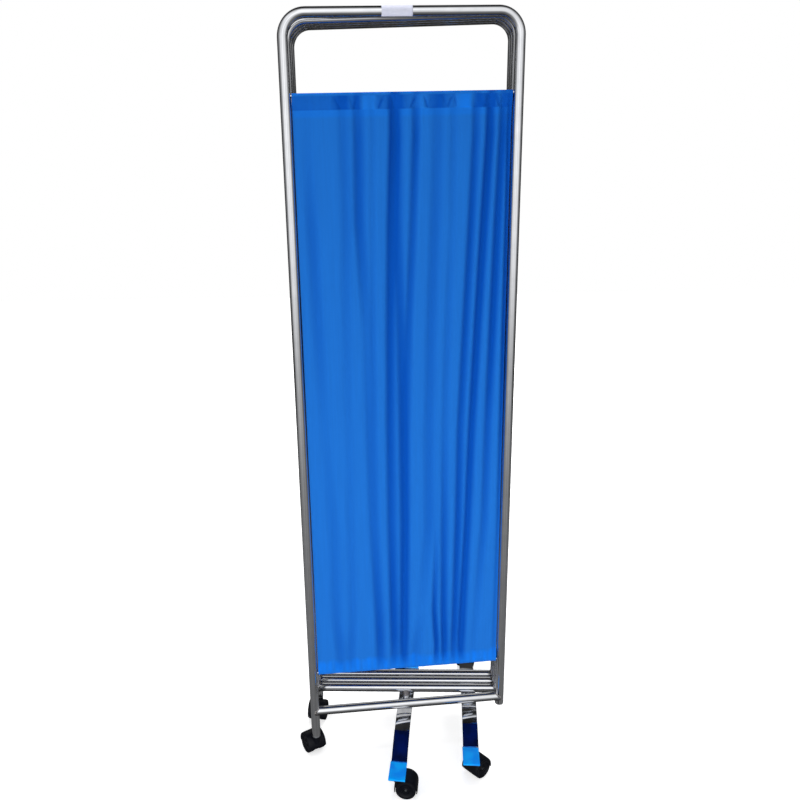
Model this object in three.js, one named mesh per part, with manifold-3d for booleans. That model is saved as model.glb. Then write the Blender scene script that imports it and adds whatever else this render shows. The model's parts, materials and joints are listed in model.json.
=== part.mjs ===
// Ward privacy screen on wheels: four hinged tube panels that each carry a blue curtain,
// standing on two arched strip feet and six twin-wheel casters.
// Millimetres, +Z up. Panel 2 stands along X, and the viewer's side is -Y. Panels 2, 3 and 4
// lie folded behind one another, and panel 1 stands a few degrees open in front of them.

import * as THREE from 'three';
import { mergeVertices } from 'three/addons/utils/BufferGeometryUtils.js';
import Module from 'manifold-3d';

const wasm = await Module();
wasm.setup();

// Fits that several pieces share
const fitGap = 0.3; // between two pieces that touch, bolt or plug together
const cutOverrun = 2; // how far a cut runs past the face that it opens

// Panels
const panelWidth = 500; // over the outsides of both legs
const screenHeight = 1755; // floor to the top of the top bar
const tubeDiameter = 22;
const tubeWall = 1.2;
const bendRadius = 45; // centre line of the two top corners
const panelPitch = 30; // from one folded panel to the next
const crossbarHeight = 128; // centre of the lower bar
const shortLegEnd = 105; // lowest point of a leg that has no caster
const legCapDepth = 9; // length of the plug in a short leg
const legCapDome = 3; // how far its rounded end stands out
const legCapStep = 0.5; // how much slimmer the plug is than the tube
const openAngle = 8; // degrees that panel 1 stands away from panel 2
const tubeSides = 12;
const bendSteps = 4;

// Curtain rods and curtains
const rodDiameter = 8;
const rodSides = 12;
const topRodDrop = 163.5; // from the top of the screen to the top rod
const bottomRodHeight = 241;
const rodSeat = 4; // length of a rod's end inside a leg
const curtainSideGap = 1.5; // between the cloth and a leg
const clothThickness = 1.6;
const sleeveWall = 1.6; // the cloth round a rod
const sleeveSides = 6;

// Hinges between neighbouring panels
const hingeOffset = 5; // how far a hinge axis lies outboard of the leg's centre
const lowerHingeHeight = 420; // underside of the lower hinge's knuckles
const upperHingeDrop = 255; // from the top of the screen to the underside of the upper hinge
const knuckleLength = 20;
const knuckleGap = 0.5; // between the two knuckles of a pair
const knuckleDiameter = 8;
const knuckleWebWidth = 4;
const knuckleSides = 8;
const pinDiameter = 4;
const pinHeadDiameter = 7;
const pinHeadHeight = 1.6;

// Arched feet
const stripWidth = 38;
const stripThickness = 5;
const crownTop = 100; // top face of the strip under the crossbar
const crownLength = 50; // flat stretch in the middle
const padTop = 62; // top face of the strip over a caster
const padLength = 60;
const padReach = 217; // from the middle of the strip to the middle of a pad
const archSteps = 5;
const postDiameter = 19;
const postSides = 16;
const rivetDiameter = 8;
const rivetHeadDiameter = 14;
const rivetHeadHeight = 3;
const middleFootForward = 12; // how far the strip's middle lies in front of its post
const rightFootBack = 13; // how far the strip's middle lies behind its post
const rightFootInset = 73; // from the right leg's centre to the post
const middleFootTwist = -5.5; // degrees
const rightFootTwist = -2.3;

// Casters
const wheelDiameter = 50; // over the corners of its facets
const wheelWidth = 15.5;
const wheelSides = 16;
const wheelBevel = 1.5;
const wheelRimWall = 5;
const wheelRecess = 4;
const wheelHubDiameter = 16;
const wheelSideGap = 0.5; // between a wheel and the web of the hood
const trail = 20; // from the swivel axis to the wheel axle
const webWidth = 15; // the middle wall of the hood, between the wheels
const hoodGap = 1.3; // between a wheel's tread and the hood
const hoodWall = 2.7;
const hoodLipAngle = 12; // degrees that the hood reaches below the axle, front and back
const hoodSteps = 10;
const pocketSides = 16;
const hoodHubDiameter = 14;
const hoodBossDiameter = 20;
const swivelGap = 0.5; // between the boss and the flange of the stem
const hoodBossHeight = 20;
const axleDiameter = 6;
const axleInset = 3; // how far an axle's end lies inside the wheel's outer face
const pivotSides = 12;
const stemDiameter = 8;
const stemFoot = 30; // lowest point of the stem inside the hood
const stemFlangeDiameter = 18;
const stemFlangeHeight = 3.7;
const spigotLength = 28; // the part of a leg caster's stem inside the tube
const trailHeadings = {
  leg_1: 115,
  leg_4: 263,
  foot_2_front: 0,
  foot_2_rear: 150,
  foot_3_front: 45,
  foot_3_rear: 75,
};

// Places that follow from the sizes
const tubeRadius = tubeDiameter / 2;
const boreRadius = tubeRadius - tubeWall;
const legReach = (panelWidth - tubeDiameter) / 2;
const topBarHeight = screenHeight - tubeRadius;
const topRodHeight = screenHeight - topRodDrop;
const hingeHeights = [lowerHingeHeight, screenHeight - upperHingeDrop];
const hingeReach = legReach + hingeOffset;
const curtainWidth = panelWidth - 2 * tubeDiameter - 2 * curtainSideGap;
const rodRadius = rodDiameter / 2;
const sleeveBoreRadius = (rodRadius + fitGap) / Math.cos(Math.PI / sleeveSides);
const sleeveRadius = sleeveBoreRadius + sleeveWall;
const sheetBottom = bottomRodHeight + sleeveRadius * Math.cos(Math.PI / sleeveSides);
const sheetTop = topRodHeight - sleeveRadius * Math.cos(Math.PI / sleeveSides);
const padUnderside = padTop - stripThickness;
const crownUnderside = crownTop - stripThickness;
const wheelRadius = wheelDiameter / 2;
const axleHeight = wheelRadius * Math.cos(Math.PI / wheelSides);
const hoodInnerRadius = wheelRadius + hoodGap;
const hoodRadius = hoodInnerRadius + hoodWall;
const casterHalfWidth = webWidth / 2 + wheelSideGap + wheelWidth;
const flangeTop = padUnderside - fitGap;
const hoodTop = flangeTop - stemFlangeHeight - swivelGap;
const feet = [
  { panel: 2, across: 0, twist: middleFootTwist, forward: middleFootForward },
  { panel: 3, across: legReach - rightFootInset, twist: rightFootTwist, forward: -rightFootBack },
];

// Materials

function material(color, roughness, metalness) {
  return new THREE.MeshStandardMaterial({ color, roughness, metalness });
}

const looks = {
  frame: () => material('#b4b7bb', 0.25, 1),
  rod: () => material('#c3c6ca', 0.3, 1),
  cloth: () => material('#2469c8', 0.85, 0),
  hinge: () => material('#9a9da1', 0.35, 1),
  strip: () => material('#aeb2b8', 0.3, 1),
  stem: () => material('#8d9095', 0.35, 1),
  hood: () => material('#14161c', 0.5, 0),
  wheel: () => material('#202229', 0.6, 0),
};

// Joining and cutting

// A closed geometry as a solid that can be joined and cut
function solidOf(geometry) {
  const bare = geometry.clone();
  bare.deleteAttribute('normal');
  bare.deleteAttribute('uv');
  const merged = mergeVertices(bare);
  const corners = Array.from(merged.index.array);
  const kept = [];
  for (let first = 0; first < corners.length; first += 3) {
    const [a, b, c] = corners.slice(first, first + 3);
    if (a !== b && b !== c && c !== a) {
      kept.push(a, b, c);
    }
  }
  return new wasm.Manifold(new wasm.Mesh({
    numProp: 3,
    vertProperties: merged.attributes.position.array,
    triVerts: new Uint32Array(kept),
  }));
}

// Joins the first list of geometries and cuts the second list away from them
function joinAndCut(joined, cuts) {
  let solid = solidOf(joined[0]);
  for (const geometry of joined.slice(1)) {
    solid = solid.add(solidOf(geometry));
  }
  for (const geometry of cuts) {
    solid = solid.subtract(solidOf(geometry));
  }
  const mesh = solid.getMesh();
  const geometry = new THREE.BufferGeometry();
  geometry.setAttribute('position', new THREE.BufferAttribute(mesh.vertProperties, mesh.numProp));
  geometry.setIndex(new THREE.BufferAttribute(mesh.triVerts, 1));
  geometry.computeVertexNormals();
  return geometry;
}

// Basic shapes

// A round bar that stands on Z between two heights
function upright(radius, bottom, top, sides) {
  const geometry = new THREE.CylinderGeometry(radius, radius, top - bottom, sides);
  geometry.rotateX(Math.PI / 2);
  geometry.translate(0, 0, (bottom + top) / 2);
  return geometry;
}

// A round bar along X between two places, at a height
function lengthwise(radius, from, to, height, sides) {
  const geometry = new THREE.CylinderGeometry(radius, radius, Math.abs(to - from), sides);
  geometry.rotateZ(Math.PI / 2);
  geometry.translate((from + to) / 2, 0, height);
  return geometry;
}

// A turned piece on Z, from the radius and height of its corners
function turned(corners, sides) {
  const profile = corners.map(([radius, height]) => new THREE.Vector2(radius, height));
  const geometry = new THREE.LatheGeometry(profile, sides);
  geometry.rotateX(Math.PI / 2);
  return geometry;
}

// A round outline of a few sides
function roundOutline(radius, sides) {
  const points = [];
  for (let side = 0; side < sides; side += 1) {
    const angle = (2 * Math.PI * side) / sides;
    points.push(new THREE.Vector2(radius * Math.cos(angle), radius * Math.sin(angle)));
  }
  return points;
}

// An outline in Y and Z that runs along X, from one side of the middle to the other
function alongX(shape, width) {
  const geometry = new THREE.ExtrudeGeometry(shape, { depth: width, bevelEnabled: false });
  const turn = new THREE.Matrix4().makeBasis(
    new THREE.Vector3(0, 1, 0),
    new THREE.Vector3(0, 0, 1),
    new THREE.Vector3(1, 0, 0),
  );
  geometry.applyMatrix4(turn);
  geometry.translate(-width / 2, 0, 0);
  return geometry;
}

// Panel frames

// A path that stops only at chosen places: the ends of the straights and along the bends
class StationPath extends THREE.Curve {
  constructor(points, tangents) {
    super();
    this.points = points;
    this.tangents = tangents;
  }

  getPointAt(share) {
    return this.points[Math.round(share * (this.points.length - 1))].clone();
  }

  getTangentAt(share) {
    return this.tangents[Math.round(share * (this.tangents.length - 1))].clone();
  }
}

// The line of a frame: up the left leg, over the top and down the right leg
function framePath(leftEnd, rightEnd) {
  const points = [new THREE.Vector3(-legReach, 0, leftEnd)];
  const tangents = [new THREE.Vector3(0, 0, 1)];
  for (const side of [-1, 1]) {
    const start = side < 0 ? Math.PI : Math.PI / 2;
    for (let step = 0; step <= bendSteps; step += 1) {
      const angle = start - (Math.PI * step) / (2 * bendSteps);
      points.push(new THREE.Vector3(
        side * (legReach - bendRadius) + bendRadius * Math.cos(angle),
        0,
        topBarHeight - bendRadius + bendRadius * Math.sin(angle),
      ));
      tangents.push(new THREE.Vector3(Math.sin(angle), 0, -Math.cos(angle)));
    }
  }
  points.push(new THREE.Vector3(legReach, 0, rightEnd));
  tangents.push(new THREE.Vector3(0, 0, -1));
  return new StationPath(points, tangents);
}

function bentBar(radius, leftEnd, rightEnd) {
  const path = framePath(leftEnd, rightEnd);
  const outline = new THREE.Shape(roundOutline(radius, tubeSides));
  return new THREE.ExtrudeGeometry(outline, { extrudePath: path, steps: path.points.length - 1 });
}

// The plug with a rounded end that closes a short leg
function legCap(side) {
  const radius = tubeRadius - legCapStep;
  const corners = [[0, shortLegEnd]];
  for (const angle of [Math.PI / 4, Math.PI / 2]) {
    corners.push([radius * Math.sin(angle), shortLegEnd + legCapDome * (1 - Math.cos(angle))]);
  }
  corners.push([radius, shortLegEnd + legCapDepth]);
  corners.push([0, shortLegEnd + legCapDepth]);
  const geometry = turned(corners, tubeSides);
  geometry.translate(side * legReach, 0, 0);
  return geometry;
}

// One knuckle with the web that joins it to its leg. Side is the leg's, facing says whether
// the neighbour lies behind (1) or in front (-1), and place is 0 for the lower of the pair.
function knuckle(side, facing, level, place) {
  const bottom = level + place * (knuckleLength + knuckleGap);
  const barrel = upright(knuckleDiameter / 2, bottom, bottom + knuckleLength, knuckleSides);
  barrel.translate(side * hingeReach, facing * panelPitch / 2, 0);
  const run = Math.hypot(hingeOffset, panelPitch / 2);
  const webStart = boreRadius + tubeWall / 2;
  const webEnd = run - pinDiameter / 2 - fitGap;
  const web = new THREE.BoxGeometry(webEnd - webStart, knuckleWebWidth, knuckleLength);
  web.translate((webStart + webEnd) / 2, 0, bottom + knuckleLength / 2);
  web.rotateZ(Math.atan2(facing * panelPitch / 2, side * hingeOffset));
  web.translate(side * legReach, 0, 0);
  return [barrel, web];
}

function pinBore(side, facing) {
  const [lowest, highest] = [hingeHeights[0], hingeHeights[1] + 2 * knuckleLength];
  const radius = pinDiameter / 2 + fitGap;
  const bore = upright(radius, lowest - cutOverrun, highest + cutOverrun, knuckleSides);
  bore.translate(side * hingeReach, facing * panelPitch / 2, 0);
  return bore;
}

// A bent frame with its knuckles and the holes for the curtain rods. Each entry of hinges
// names the leg's side, where the neighbour lies and this panel's place in the pair.
function frameGeometry(leftCaster, hinges) {
  const shortEnd = shortLegEnd + legCapDome;
  const leftEnd = leftCaster ? padUnderside : shortEnd;
  const joined = [bentBar(tubeRadius, leftEnd, shortEnd), legCap(1)];
  const boreEnd = shortLegEnd + legCapDepth;
  const cuts = [bentBar(boreRadius, leftCaster ? leftEnd - cutOverrun : boreEnd, boreEnd)];
  if (!leftCaster) {
    joined.push(legCap(-1));
  }
  for (const { side, facing, place } of hinges) {
    for (const level of hingeHeights) {
      joined.push(...knuckle(side, facing, level, place));
    }
    cuts.push(pinBore(side, facing));
  }
  for (const height of [topRodHeight, bottomRodHeight]) {
    for (const side of [-1, 1]) {
      const inside = side * (legReach - tubeRadius - cutOverrun);
      cuts.push(lengthwise(rodRadius + fitGap, inside, side * legReach, height, rodSides));
    }
  }
  return joinAndCut(joined, cuts);
}

// The lower bar, hollow and coped to fit against both legs
function crossbarGeometry() {
  const bar = lengthwise(tubeRadius, -legReach, legReach, crossbarHeight, tubeSides);
  const bore = lengthwise(boreRadius, -legReach, legReach, crossbarHeight, tubeSides);
  const cuts = [bore];
  for (const side of [-1, 1]) {
    const [low, high] = [crossbarHeight - tubeDiameter, crossbarHeight + tubeDiameter];
    const leg = upright(tubeRadius + fitGap, low, high, 2 * tubeSides);
    leg.translate(side * legReach, 0, 0);
    cuts.push(leg);
  }
  return joinAndCut([bar], cuts);
}

function rodGeometry(height) {
  const reach = legReach - tubeRadius + rodSeat;
  return lengthwise(rodRadius, -reach, reach, height, rodSides);
}

// Curtains

// The corners of a sleeve round a rod, from one edge of the flat where the sheet leaves it
// to the other. Facing is 1 where the sheet hangs below the rod and -1 where it stands above.
function sleeveCorners(rodHeight, facing) {
  const corners = [];
  for (let side = 0; side < sleeveSides; side += 1) {
    const angle = (2 * Math.PI * (side + 0.5)) / sleeveSides - (facing * Math.PI) / 2;
    corners.push(new THREE.Vector2(
      sleeveRadius * Math.cos(angle),
      rodHeight + sleeveRadius * Math.sin(angle),
    ));
  }
  return corners;
}

// The end view of a curtain, in Y and Z: a sleeve round each rod and a plain sheet between
function curtainOutline() {
  const half = clothThickness / 2;
  const shape = new THREE.Shape([
    new THREE.Vector2(half, sheetBottom),
    new THREE.Vector2(half, sheetTop),
    ...sleeveCorners(topRodHeight, 1),
    new THREE.Vector2(-half, sheetTop),
    new THREE.Vector2(-half, sheetBottom),
    ...sleeveCorners(bottomRodHeight, -1),
  ]);
  for (const height of [bottomRodHeight, topRodHeight]) {
    const bore = roundOutline(sleeveBoreRadius, sleeveSides);
    shape.holes.push(new THREE.Path(bore.map((point) => new THREE.Vector2(point.x, point.y + height))));
  }
  return shape;
}

function curtainGeometry() {
  return alongX(curtainOutline(), curtainWidth);
}

// Hinge pins

function pinGeometry(level) {
  const radius = pinDiameter / 2;
  const headRadius = pinHeadDiameter / 2;
  const bottom = level - fitGap;
  const headBottom = level + 2 * knuckleLength + knuckleGap + fitGap;
  return turned([
    [0, bottom],
    [radius, bottom],
    [radius, headBottom],
    [headRadius, headBottom],
    [headRadius, headBottom + pinHeadHeight],
    [0, headBottom + pinHeadHeight],
  ], knuckleSides);
}

// Feet

// Height of the strip's top face at a distance from its middle
function archHeight(distance) {
  const crownEnd = crownLength / 2;
  const padStart = padReach - padLength / 2;
  const share = THREE.MathUtils.clamp((distance - crownEnd) / (padStart - crownEnd), 0, 1);
  return crownTop - (crownTop - padTop) * share ** 2;
}

// A strip foot along Y, its middle a little forward of the post that it is riveted to
function bowGeometry(forward) {
  const crownEnd = crownLength / 2;
  const padStart = padReach - padLength / 2;
  const places = [];
  for (let step = 0; step <= archSteps; step += 1) {
    places.push(THREE.MathUtils.lerp(crownEnd, padStart, step / archSteps));
  }
  places.push(padReach + padLength / 2);
  const line = [...places.toReversed().map((distance) => -distance), ...places];
  const top = line.map((distance) => new THREE.Vector2(distance, archHeight(Math.abs(distance))));
  const under = top.map((point) => new THREE.Vector2(point.x, point.y - stripThickness));
  const shape = new THREE.Shape([...under, ...top.toReversed()]);
  const strip = alongX(shape, stripWidth);
  const rivetHole = upright(
    rivetDiameter / 2 + fitGap,
    crownUnderside - cutOverrun,
    crownTop + cutOverrun,
    pivotSides,
  );
  rivetHole.translate(0, forward, 0);
  const stemHoles = [-1, 1].map((end) => {
    const hole = upright(
      stemDiameter / 2 + fitGap,
      padUnderside - cutOverrun,
      padTop + cutOverrun,
      pivotSides,
    );
    hole.translate(0, end * padReach, 0);
    return hole;
  });
  const geometry = joinAndCut([strip], [rivetHole, ...stemHoles]);
  geometry.translate(0, -forward, 0);
  return geometry;
}

// The post between the crossbar and a foot, riveted over under the strip. Its saddle is
// turned back by the foot's twist, so that it lies along the bar.
function postGeometry(twist) {
  const bottom = crownTop + fitGap;
  const headTop = crownUnderside - fitGap;
  const body = turned([
    [0, headTop - rivetHeadHeight],
    [rivetHeadDiameter / 2, headTop - rivetHeadHeight],
    [rivetHeadDiameter / 2, headTop],
    [rivetDiameter / 2, headTop],
    [rivetDiameter / 2, bottom],
    [postDiameter / 2, bottom],
    [postDiameter / 2, crossbarHeight],
    [0, crossbarHeight],
  ], postSides);
  const bar = lengthwise(tubeRadius + fitGap, -postDiameter, postDiameter, crossbarHeight, 2 * tubeSides);
  bar.rotateZ(-THREE.MathUtils.degToRad(twist));
  return joinAndCut([body], [bar]);
}

// Casters, each drawn with its swivel axis on Z and its wheels trailing along +X

function stemGeometry(inLeg) {
  const radius = stemDiameter / 2;
  const flangeRadius = inLeg ? tubeRadius : stemFlangeDiameter / 2;
  const upperRadius = inLeg ? boreRadius - fitGap : radius;
  const upperEnd = inLeg ? padUnderside + spigotLength : padTop;
  return turned([
    [0, stemFoot],
    [radius, stemFoot],
    [radius, flangeTop - stemFlangeHeight],
    [flangeRadius, flangeTop - stemFlangeHeight],
    [flangeRadius, flangeTop],
    [upperRadius, flangeTop],
    [upperRadius, upperEnd],
    [0, upperEnd],
  ], pivotSides);
}

// A cover over the upper half of both wheels, with a web between them and a boss for the stem
function hoodGeometry() {
  const lip = THREE.MathUtils.degToRad(hoodLipAngle);
  const outline = [];
  for (let step = 0; step <= hoodSteps; step += 1) {
    const angle = THREE.MathUtils.lerp(-lip, Math.PI + lip, step / hoodSteps);
    outline.push(new THREE.Vector2(hoodRadius * Math.cos(angle), hoodRadius * Math.sin(angle)));
  }
  for (const angle of [1.25 * Math.PI, 1.5 * Math.PI, 1.75 * Math.PI]) {
    const radius = hoodHubDiameter / 2;
    outline.push(new THREE.Vector2(radius * Math.cos(angle), radius * Math.sin(angle)));
  }
  const shell = new THREE.ExtrudeGeometry(new THREE.Shape(outline), {
    depth: 2 * casterHalfWidth,
    bevelEnabled: false,
  });
  shell.rotateX(Math.PI / 2);
  shell.translate(trail, casterHalfWidth, axleHeight);
  const boss = upright(hoodBossDiameter / 2, hoodTop - hoodBossHeight, hoodTop, pivotSides);
  const stemBore = upright(stemDiameter / 2 + fitGap, stemFoot - fitGap, hoodTop + cutOverrun, pivotSides);
  const pocketWidth = wheelSideGap + wheelWidth + cutOverrun;
  const pockets = [-1, 1].map((side) => {
    const pocket = new THREE.CylinderGeometry(hoodInnerRadius, hoodInnerRadius, pocketWidth, pocketSides);
    pocket.translate(trail, side * (webWidth + pocketWidth) / 2, 0);
    pocket.translate(0, 0, axleHeight);
    return pocket;
  });
  const axleRadius = axleDiameter / 2 + fitGap;
  const axleBore = new THREE.CylinderGeometry(axleRadius, axleRadius, 2 * casterHalfWidth, pivotSides);
  axleBore.translate(trail, 0, axleHeight);
  return joinAndCut([shell, boss], [...pockets, axleBore, stemBore]);
}

function axleGeometry() {
  const length = 2 * (casterHalfWidth - axleInset);
  return new THREE.CylinderGeometry(axleDiameter / 2, axleDiameter / 2, length, pivotSides);
}

// One wheel, turned on Y, with its outer face dished between hub and rim
function wheelGeometry(side) {
  const inner = webWidth / 2 + wheelSideGap;
  const outer = casterHalfWidth;
  const bore = axleDiameter / 2 + fitGap;
  const hub = wheelHubDiameter / 2;
  const rim = wheelRadius - wheelRimWall;
  const corners = [
    [bore, inner],
    [wheelRadius, inner],
    [wheelRadius, outer - wheelBevel],
    [wheelRadius - wheelBevel, outer],
    [rim, outer],
    [hub, outer - wheelRecess],
    [bore, outer - wheelRecess],
    [bore, inner],
  ];
  const profile = corners.map(([radius, place]) => new THREE.Vector2(radius, place));
  const geometry = new THREE.LatheGeometry(profile, wheelSides, Math.PI / wheelSides);
  if (side < 0) {
    geometry.rotateZ(Math.PI);
  }
  return geometry;
}

// Assembly

function piece(name, geometry, look) {
  const mesh = new THREE.Mesh(geometry, looks[look]());
  mesh.name = name;
  return mesh;
}

// A caster at a place of the panel or foot that carries it
function caster(name, inLeg) {
  const group = new THREE.Group();
  group.add(piece(`caster_${name}_stem`, stemGeometry(inLeg), 'stem'));
  const swivel = new THREE.Group();
  swivel.rotation.z = THREE.MathUtils.degToRad(trailHeadings[name]);
  swivel.add(piece(`caster_${name}_hood`, hoodGeometry(), 'hood'));
  const wheels = new THREE.Group();
  wheels.position.set(trail, 0, axleHeight);
  wheels.add(piece(`caster_${name}_axle`, axleGeometry(), 'stem'));
  wheels.add(piece(`caster_${name}_wheel_a`, wheelGeometry(-1), 'wheel'));
  wheels.add(piece(`caster_${name}_wheel_b`, wheelGeometry(1), 'wheel'));
  swivel.add(wheels);
  group.add(swivel);
  return group;
}

function foot({ panel, across, twist, forward }) {
  const group = new THREE.Group();
  group.position.x = across;
  group.rotation.z = THREE.MathUtils.degToRad(twist);
  group.add(piece(`foot_${panel}_bow`, bowGeometry(forward), 'strip'));
  group.add(piece(`foot_${panel}_post`, postGeometry(twist), 'frame'));
  for (const [end, side] of [['front', -1], ['rear', 1]]) {
    const wheels = caster(`foot_${panel}_${end}`, false);
    wheels.position.y = side * padReach - forward;
    group.add(wheels);
  }
  return group;
}

function panel(number, leftCaster, hinges) {
  const group = new THREE.Group();
  const name = `panel_${number}`;
  group.add(piece(`${name}_frame`, frameGeometry(leftCaster, hinges), 'frame'));
  group.add(piece(`${name}_crossbar`, crossbarGeometry(), 'frame'));
  group.add(piece(`${name}_top_rod`, rodGeometry(topRodHeight), 'rod'));
  group.add(piece(`${name}_bottom_rod`, rodGeometry(bottomRodHeight), 'rod'));
  group.add(piece(`${name}_curtain`, curtainGeometry(), 'cloth'));
  if (leftCaster) {
    const leg = caster(`leg_${number}`, true);
    leg.position.x = -legReach;
    group.add(leg);
  }
  for (const each of feet.filter((entry) => entry.panel === number)) {
    group.add(foot(each));
  }
  return group;
}

// The pins of one pair of panels, drawn in the front panel's own frame
function hingePins(name, side) {
  const group = new THREE.Group();
  for (const [place, level] of [['lower', hingeHeights[0]], ['upper', hingeHeights[1]]]) {
    group.add(piece(`hinge_${name}_${place}_pin`, pinGeometry(level), 'hinge'));
  }
  group.position.set(side * hingeReach, panelPitch / 2, 0);
  return group;
}

function screen() {
  const stack = new THREE.Group();
  const second = panel(2, false, [
    { side: 1, facing: -1, place: 0 },
    { side: -1, facing: 1, place: 0 },
  ]);
  second.add(hingePins('23', -1));
  const third = panel(3, false, [
    { side: -1, facing: -1, place: 1 },
    { side: 1, facing: 1, place: 0 },
  ]);
  third.position.y = panelPitch;
  third.add(hingePins('34', 1));
  const fourth = panel(4, true, [{ side: 1, facing: -1, place: 1 }]);
  fourth.position.y = 2 * panelPitch;

  const first = panel(1, true, [{ side: 1, facing: 1, place: 1 }]);
  first.position.set(-hingeReach, -panelPitch / 2, 0);
  const swing = new THREE.Group();
  swing.position.set(hingeReach, -panelPitch / 2, 0);
  swing.rotation.z = THREE.MathUtils.degToRad(openAngle);
  swing.add(first);
  const firstPins = hingePins('12', 1);
  firstPins.position.y = -panelPitch / 2;
  second.add(firstPins);

  stack.add(swing, second, third, fourth);
  return stack;
}

// The origin is the middle of the footprint, on the floor
const wardScreen = new THREE.Group();
const stack = screen();
const bounds = new THREE.Box3().setFromObject(stack, true);
const middle = bounds.getCenter(new THREE.Vector3());
stack.position.set(-middle.x, -middle.y, -bounds.min.z);
wardScreen.add(stack);

export default wardScreen;
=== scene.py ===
"""Looks of the ward privacy screen on wheels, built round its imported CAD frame.

Four hinged tube panels carry a blue curtain each. They stand on two arched strip feet and on
six twin-wheel casters. Places come from the frame, and sizes are written in millimetres.
"""

import json
import logging
import math
import random
from dataclasses import dataclass, field
from enum import Enum
from typing import Iterable, Optional, Sequence

import bmesh
import bpy
import numpy as np
from mathutils import Matrix, Vector


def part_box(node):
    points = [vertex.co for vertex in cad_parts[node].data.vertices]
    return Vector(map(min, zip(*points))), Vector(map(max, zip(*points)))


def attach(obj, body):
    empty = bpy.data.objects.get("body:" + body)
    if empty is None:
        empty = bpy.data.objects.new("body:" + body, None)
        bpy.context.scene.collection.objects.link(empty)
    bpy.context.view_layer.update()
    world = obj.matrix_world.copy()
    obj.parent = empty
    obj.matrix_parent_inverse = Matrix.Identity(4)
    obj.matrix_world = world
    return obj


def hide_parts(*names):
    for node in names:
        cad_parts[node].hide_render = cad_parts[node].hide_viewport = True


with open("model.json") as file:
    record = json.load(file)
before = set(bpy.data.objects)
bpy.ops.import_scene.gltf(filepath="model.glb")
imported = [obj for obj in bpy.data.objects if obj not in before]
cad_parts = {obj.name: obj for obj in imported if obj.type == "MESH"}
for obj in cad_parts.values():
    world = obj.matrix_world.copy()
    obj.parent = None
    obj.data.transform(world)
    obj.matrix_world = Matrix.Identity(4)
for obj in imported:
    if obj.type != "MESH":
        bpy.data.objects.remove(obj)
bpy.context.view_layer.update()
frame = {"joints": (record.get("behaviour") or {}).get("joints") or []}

log = logging.getLogger("ward_screen")

MM = 0.001
FULL_TURN = 2 * math.pi
QUARTER_TURN = math.pi / 2
MERGE = 1e-4  # corners nearer than this, in millimetres, are one
SKIN_SHARE = 0.8  # thickness of a film or label, as a share of how far it stands off

Mesh = bmesh.types.BMesh
Edge = bmesh.types.BMEdge
Vert = bmesh.types.BMVert
Piece = bpy.types.Object
Tree = bpy.types.NodeTree
Node = bpy.types.Node
Socket = bpy.types.NodeSocket
Pairs = Sequence[tuple[float, float]]


# Colour and node helpers


def to_linear(colour: str) -> tuple[float, float, float, float]:
    """Turn an sRGB hex colour into linear light.

    Args:
        colour: A colour such as "#2469C8".

    Returns:
        Linear red, green, blue and an alpha of 1.
    """
    channels = [int(colour[start:start + 2], 16) / 255 for start in (1, 3, 5)]
    linear = [c / 12.92 if c <= 0.04045 else ((c + 0.055) / 1.055) ** 2.4 for c in channels]
    return (linear[0], linear[1], linear[2], 1.0)


def add_node(
    tree: Tree,
    kind: str,
    values: Optional[dict] = None,
    links: Optional[dict] = None,
    **settings: object,
) -> Node:
    """Add one node with its settings, socket values and incoming links.

    Args:
        tree: The node tree that gets the node.
        kind: The node's type name.
        values: Input socket name or number to value.
        links: Input socket name or number to the output socket that feeds it.
        **settings: Properties of the node.

    Returns:
        The new node.
    """
    node = tree.nodes.new(kind)
    for key, value in settings.items():
        setattr(node, key, value)
    for key, value in (values or {}).items():
        node.inputs[key].default_value = value
    for key, source in (links or {}).items():
        tree.links.new(source, node.inputs[key])
    return node


# Finishes


class Grain(Enum):
    """The direction in which a drawn or rolled metal piece was made."""

    ALONG_X = "along_x"
    ALONG_Y = "along_y"
    ALONG_Z = "along_z"


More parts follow.
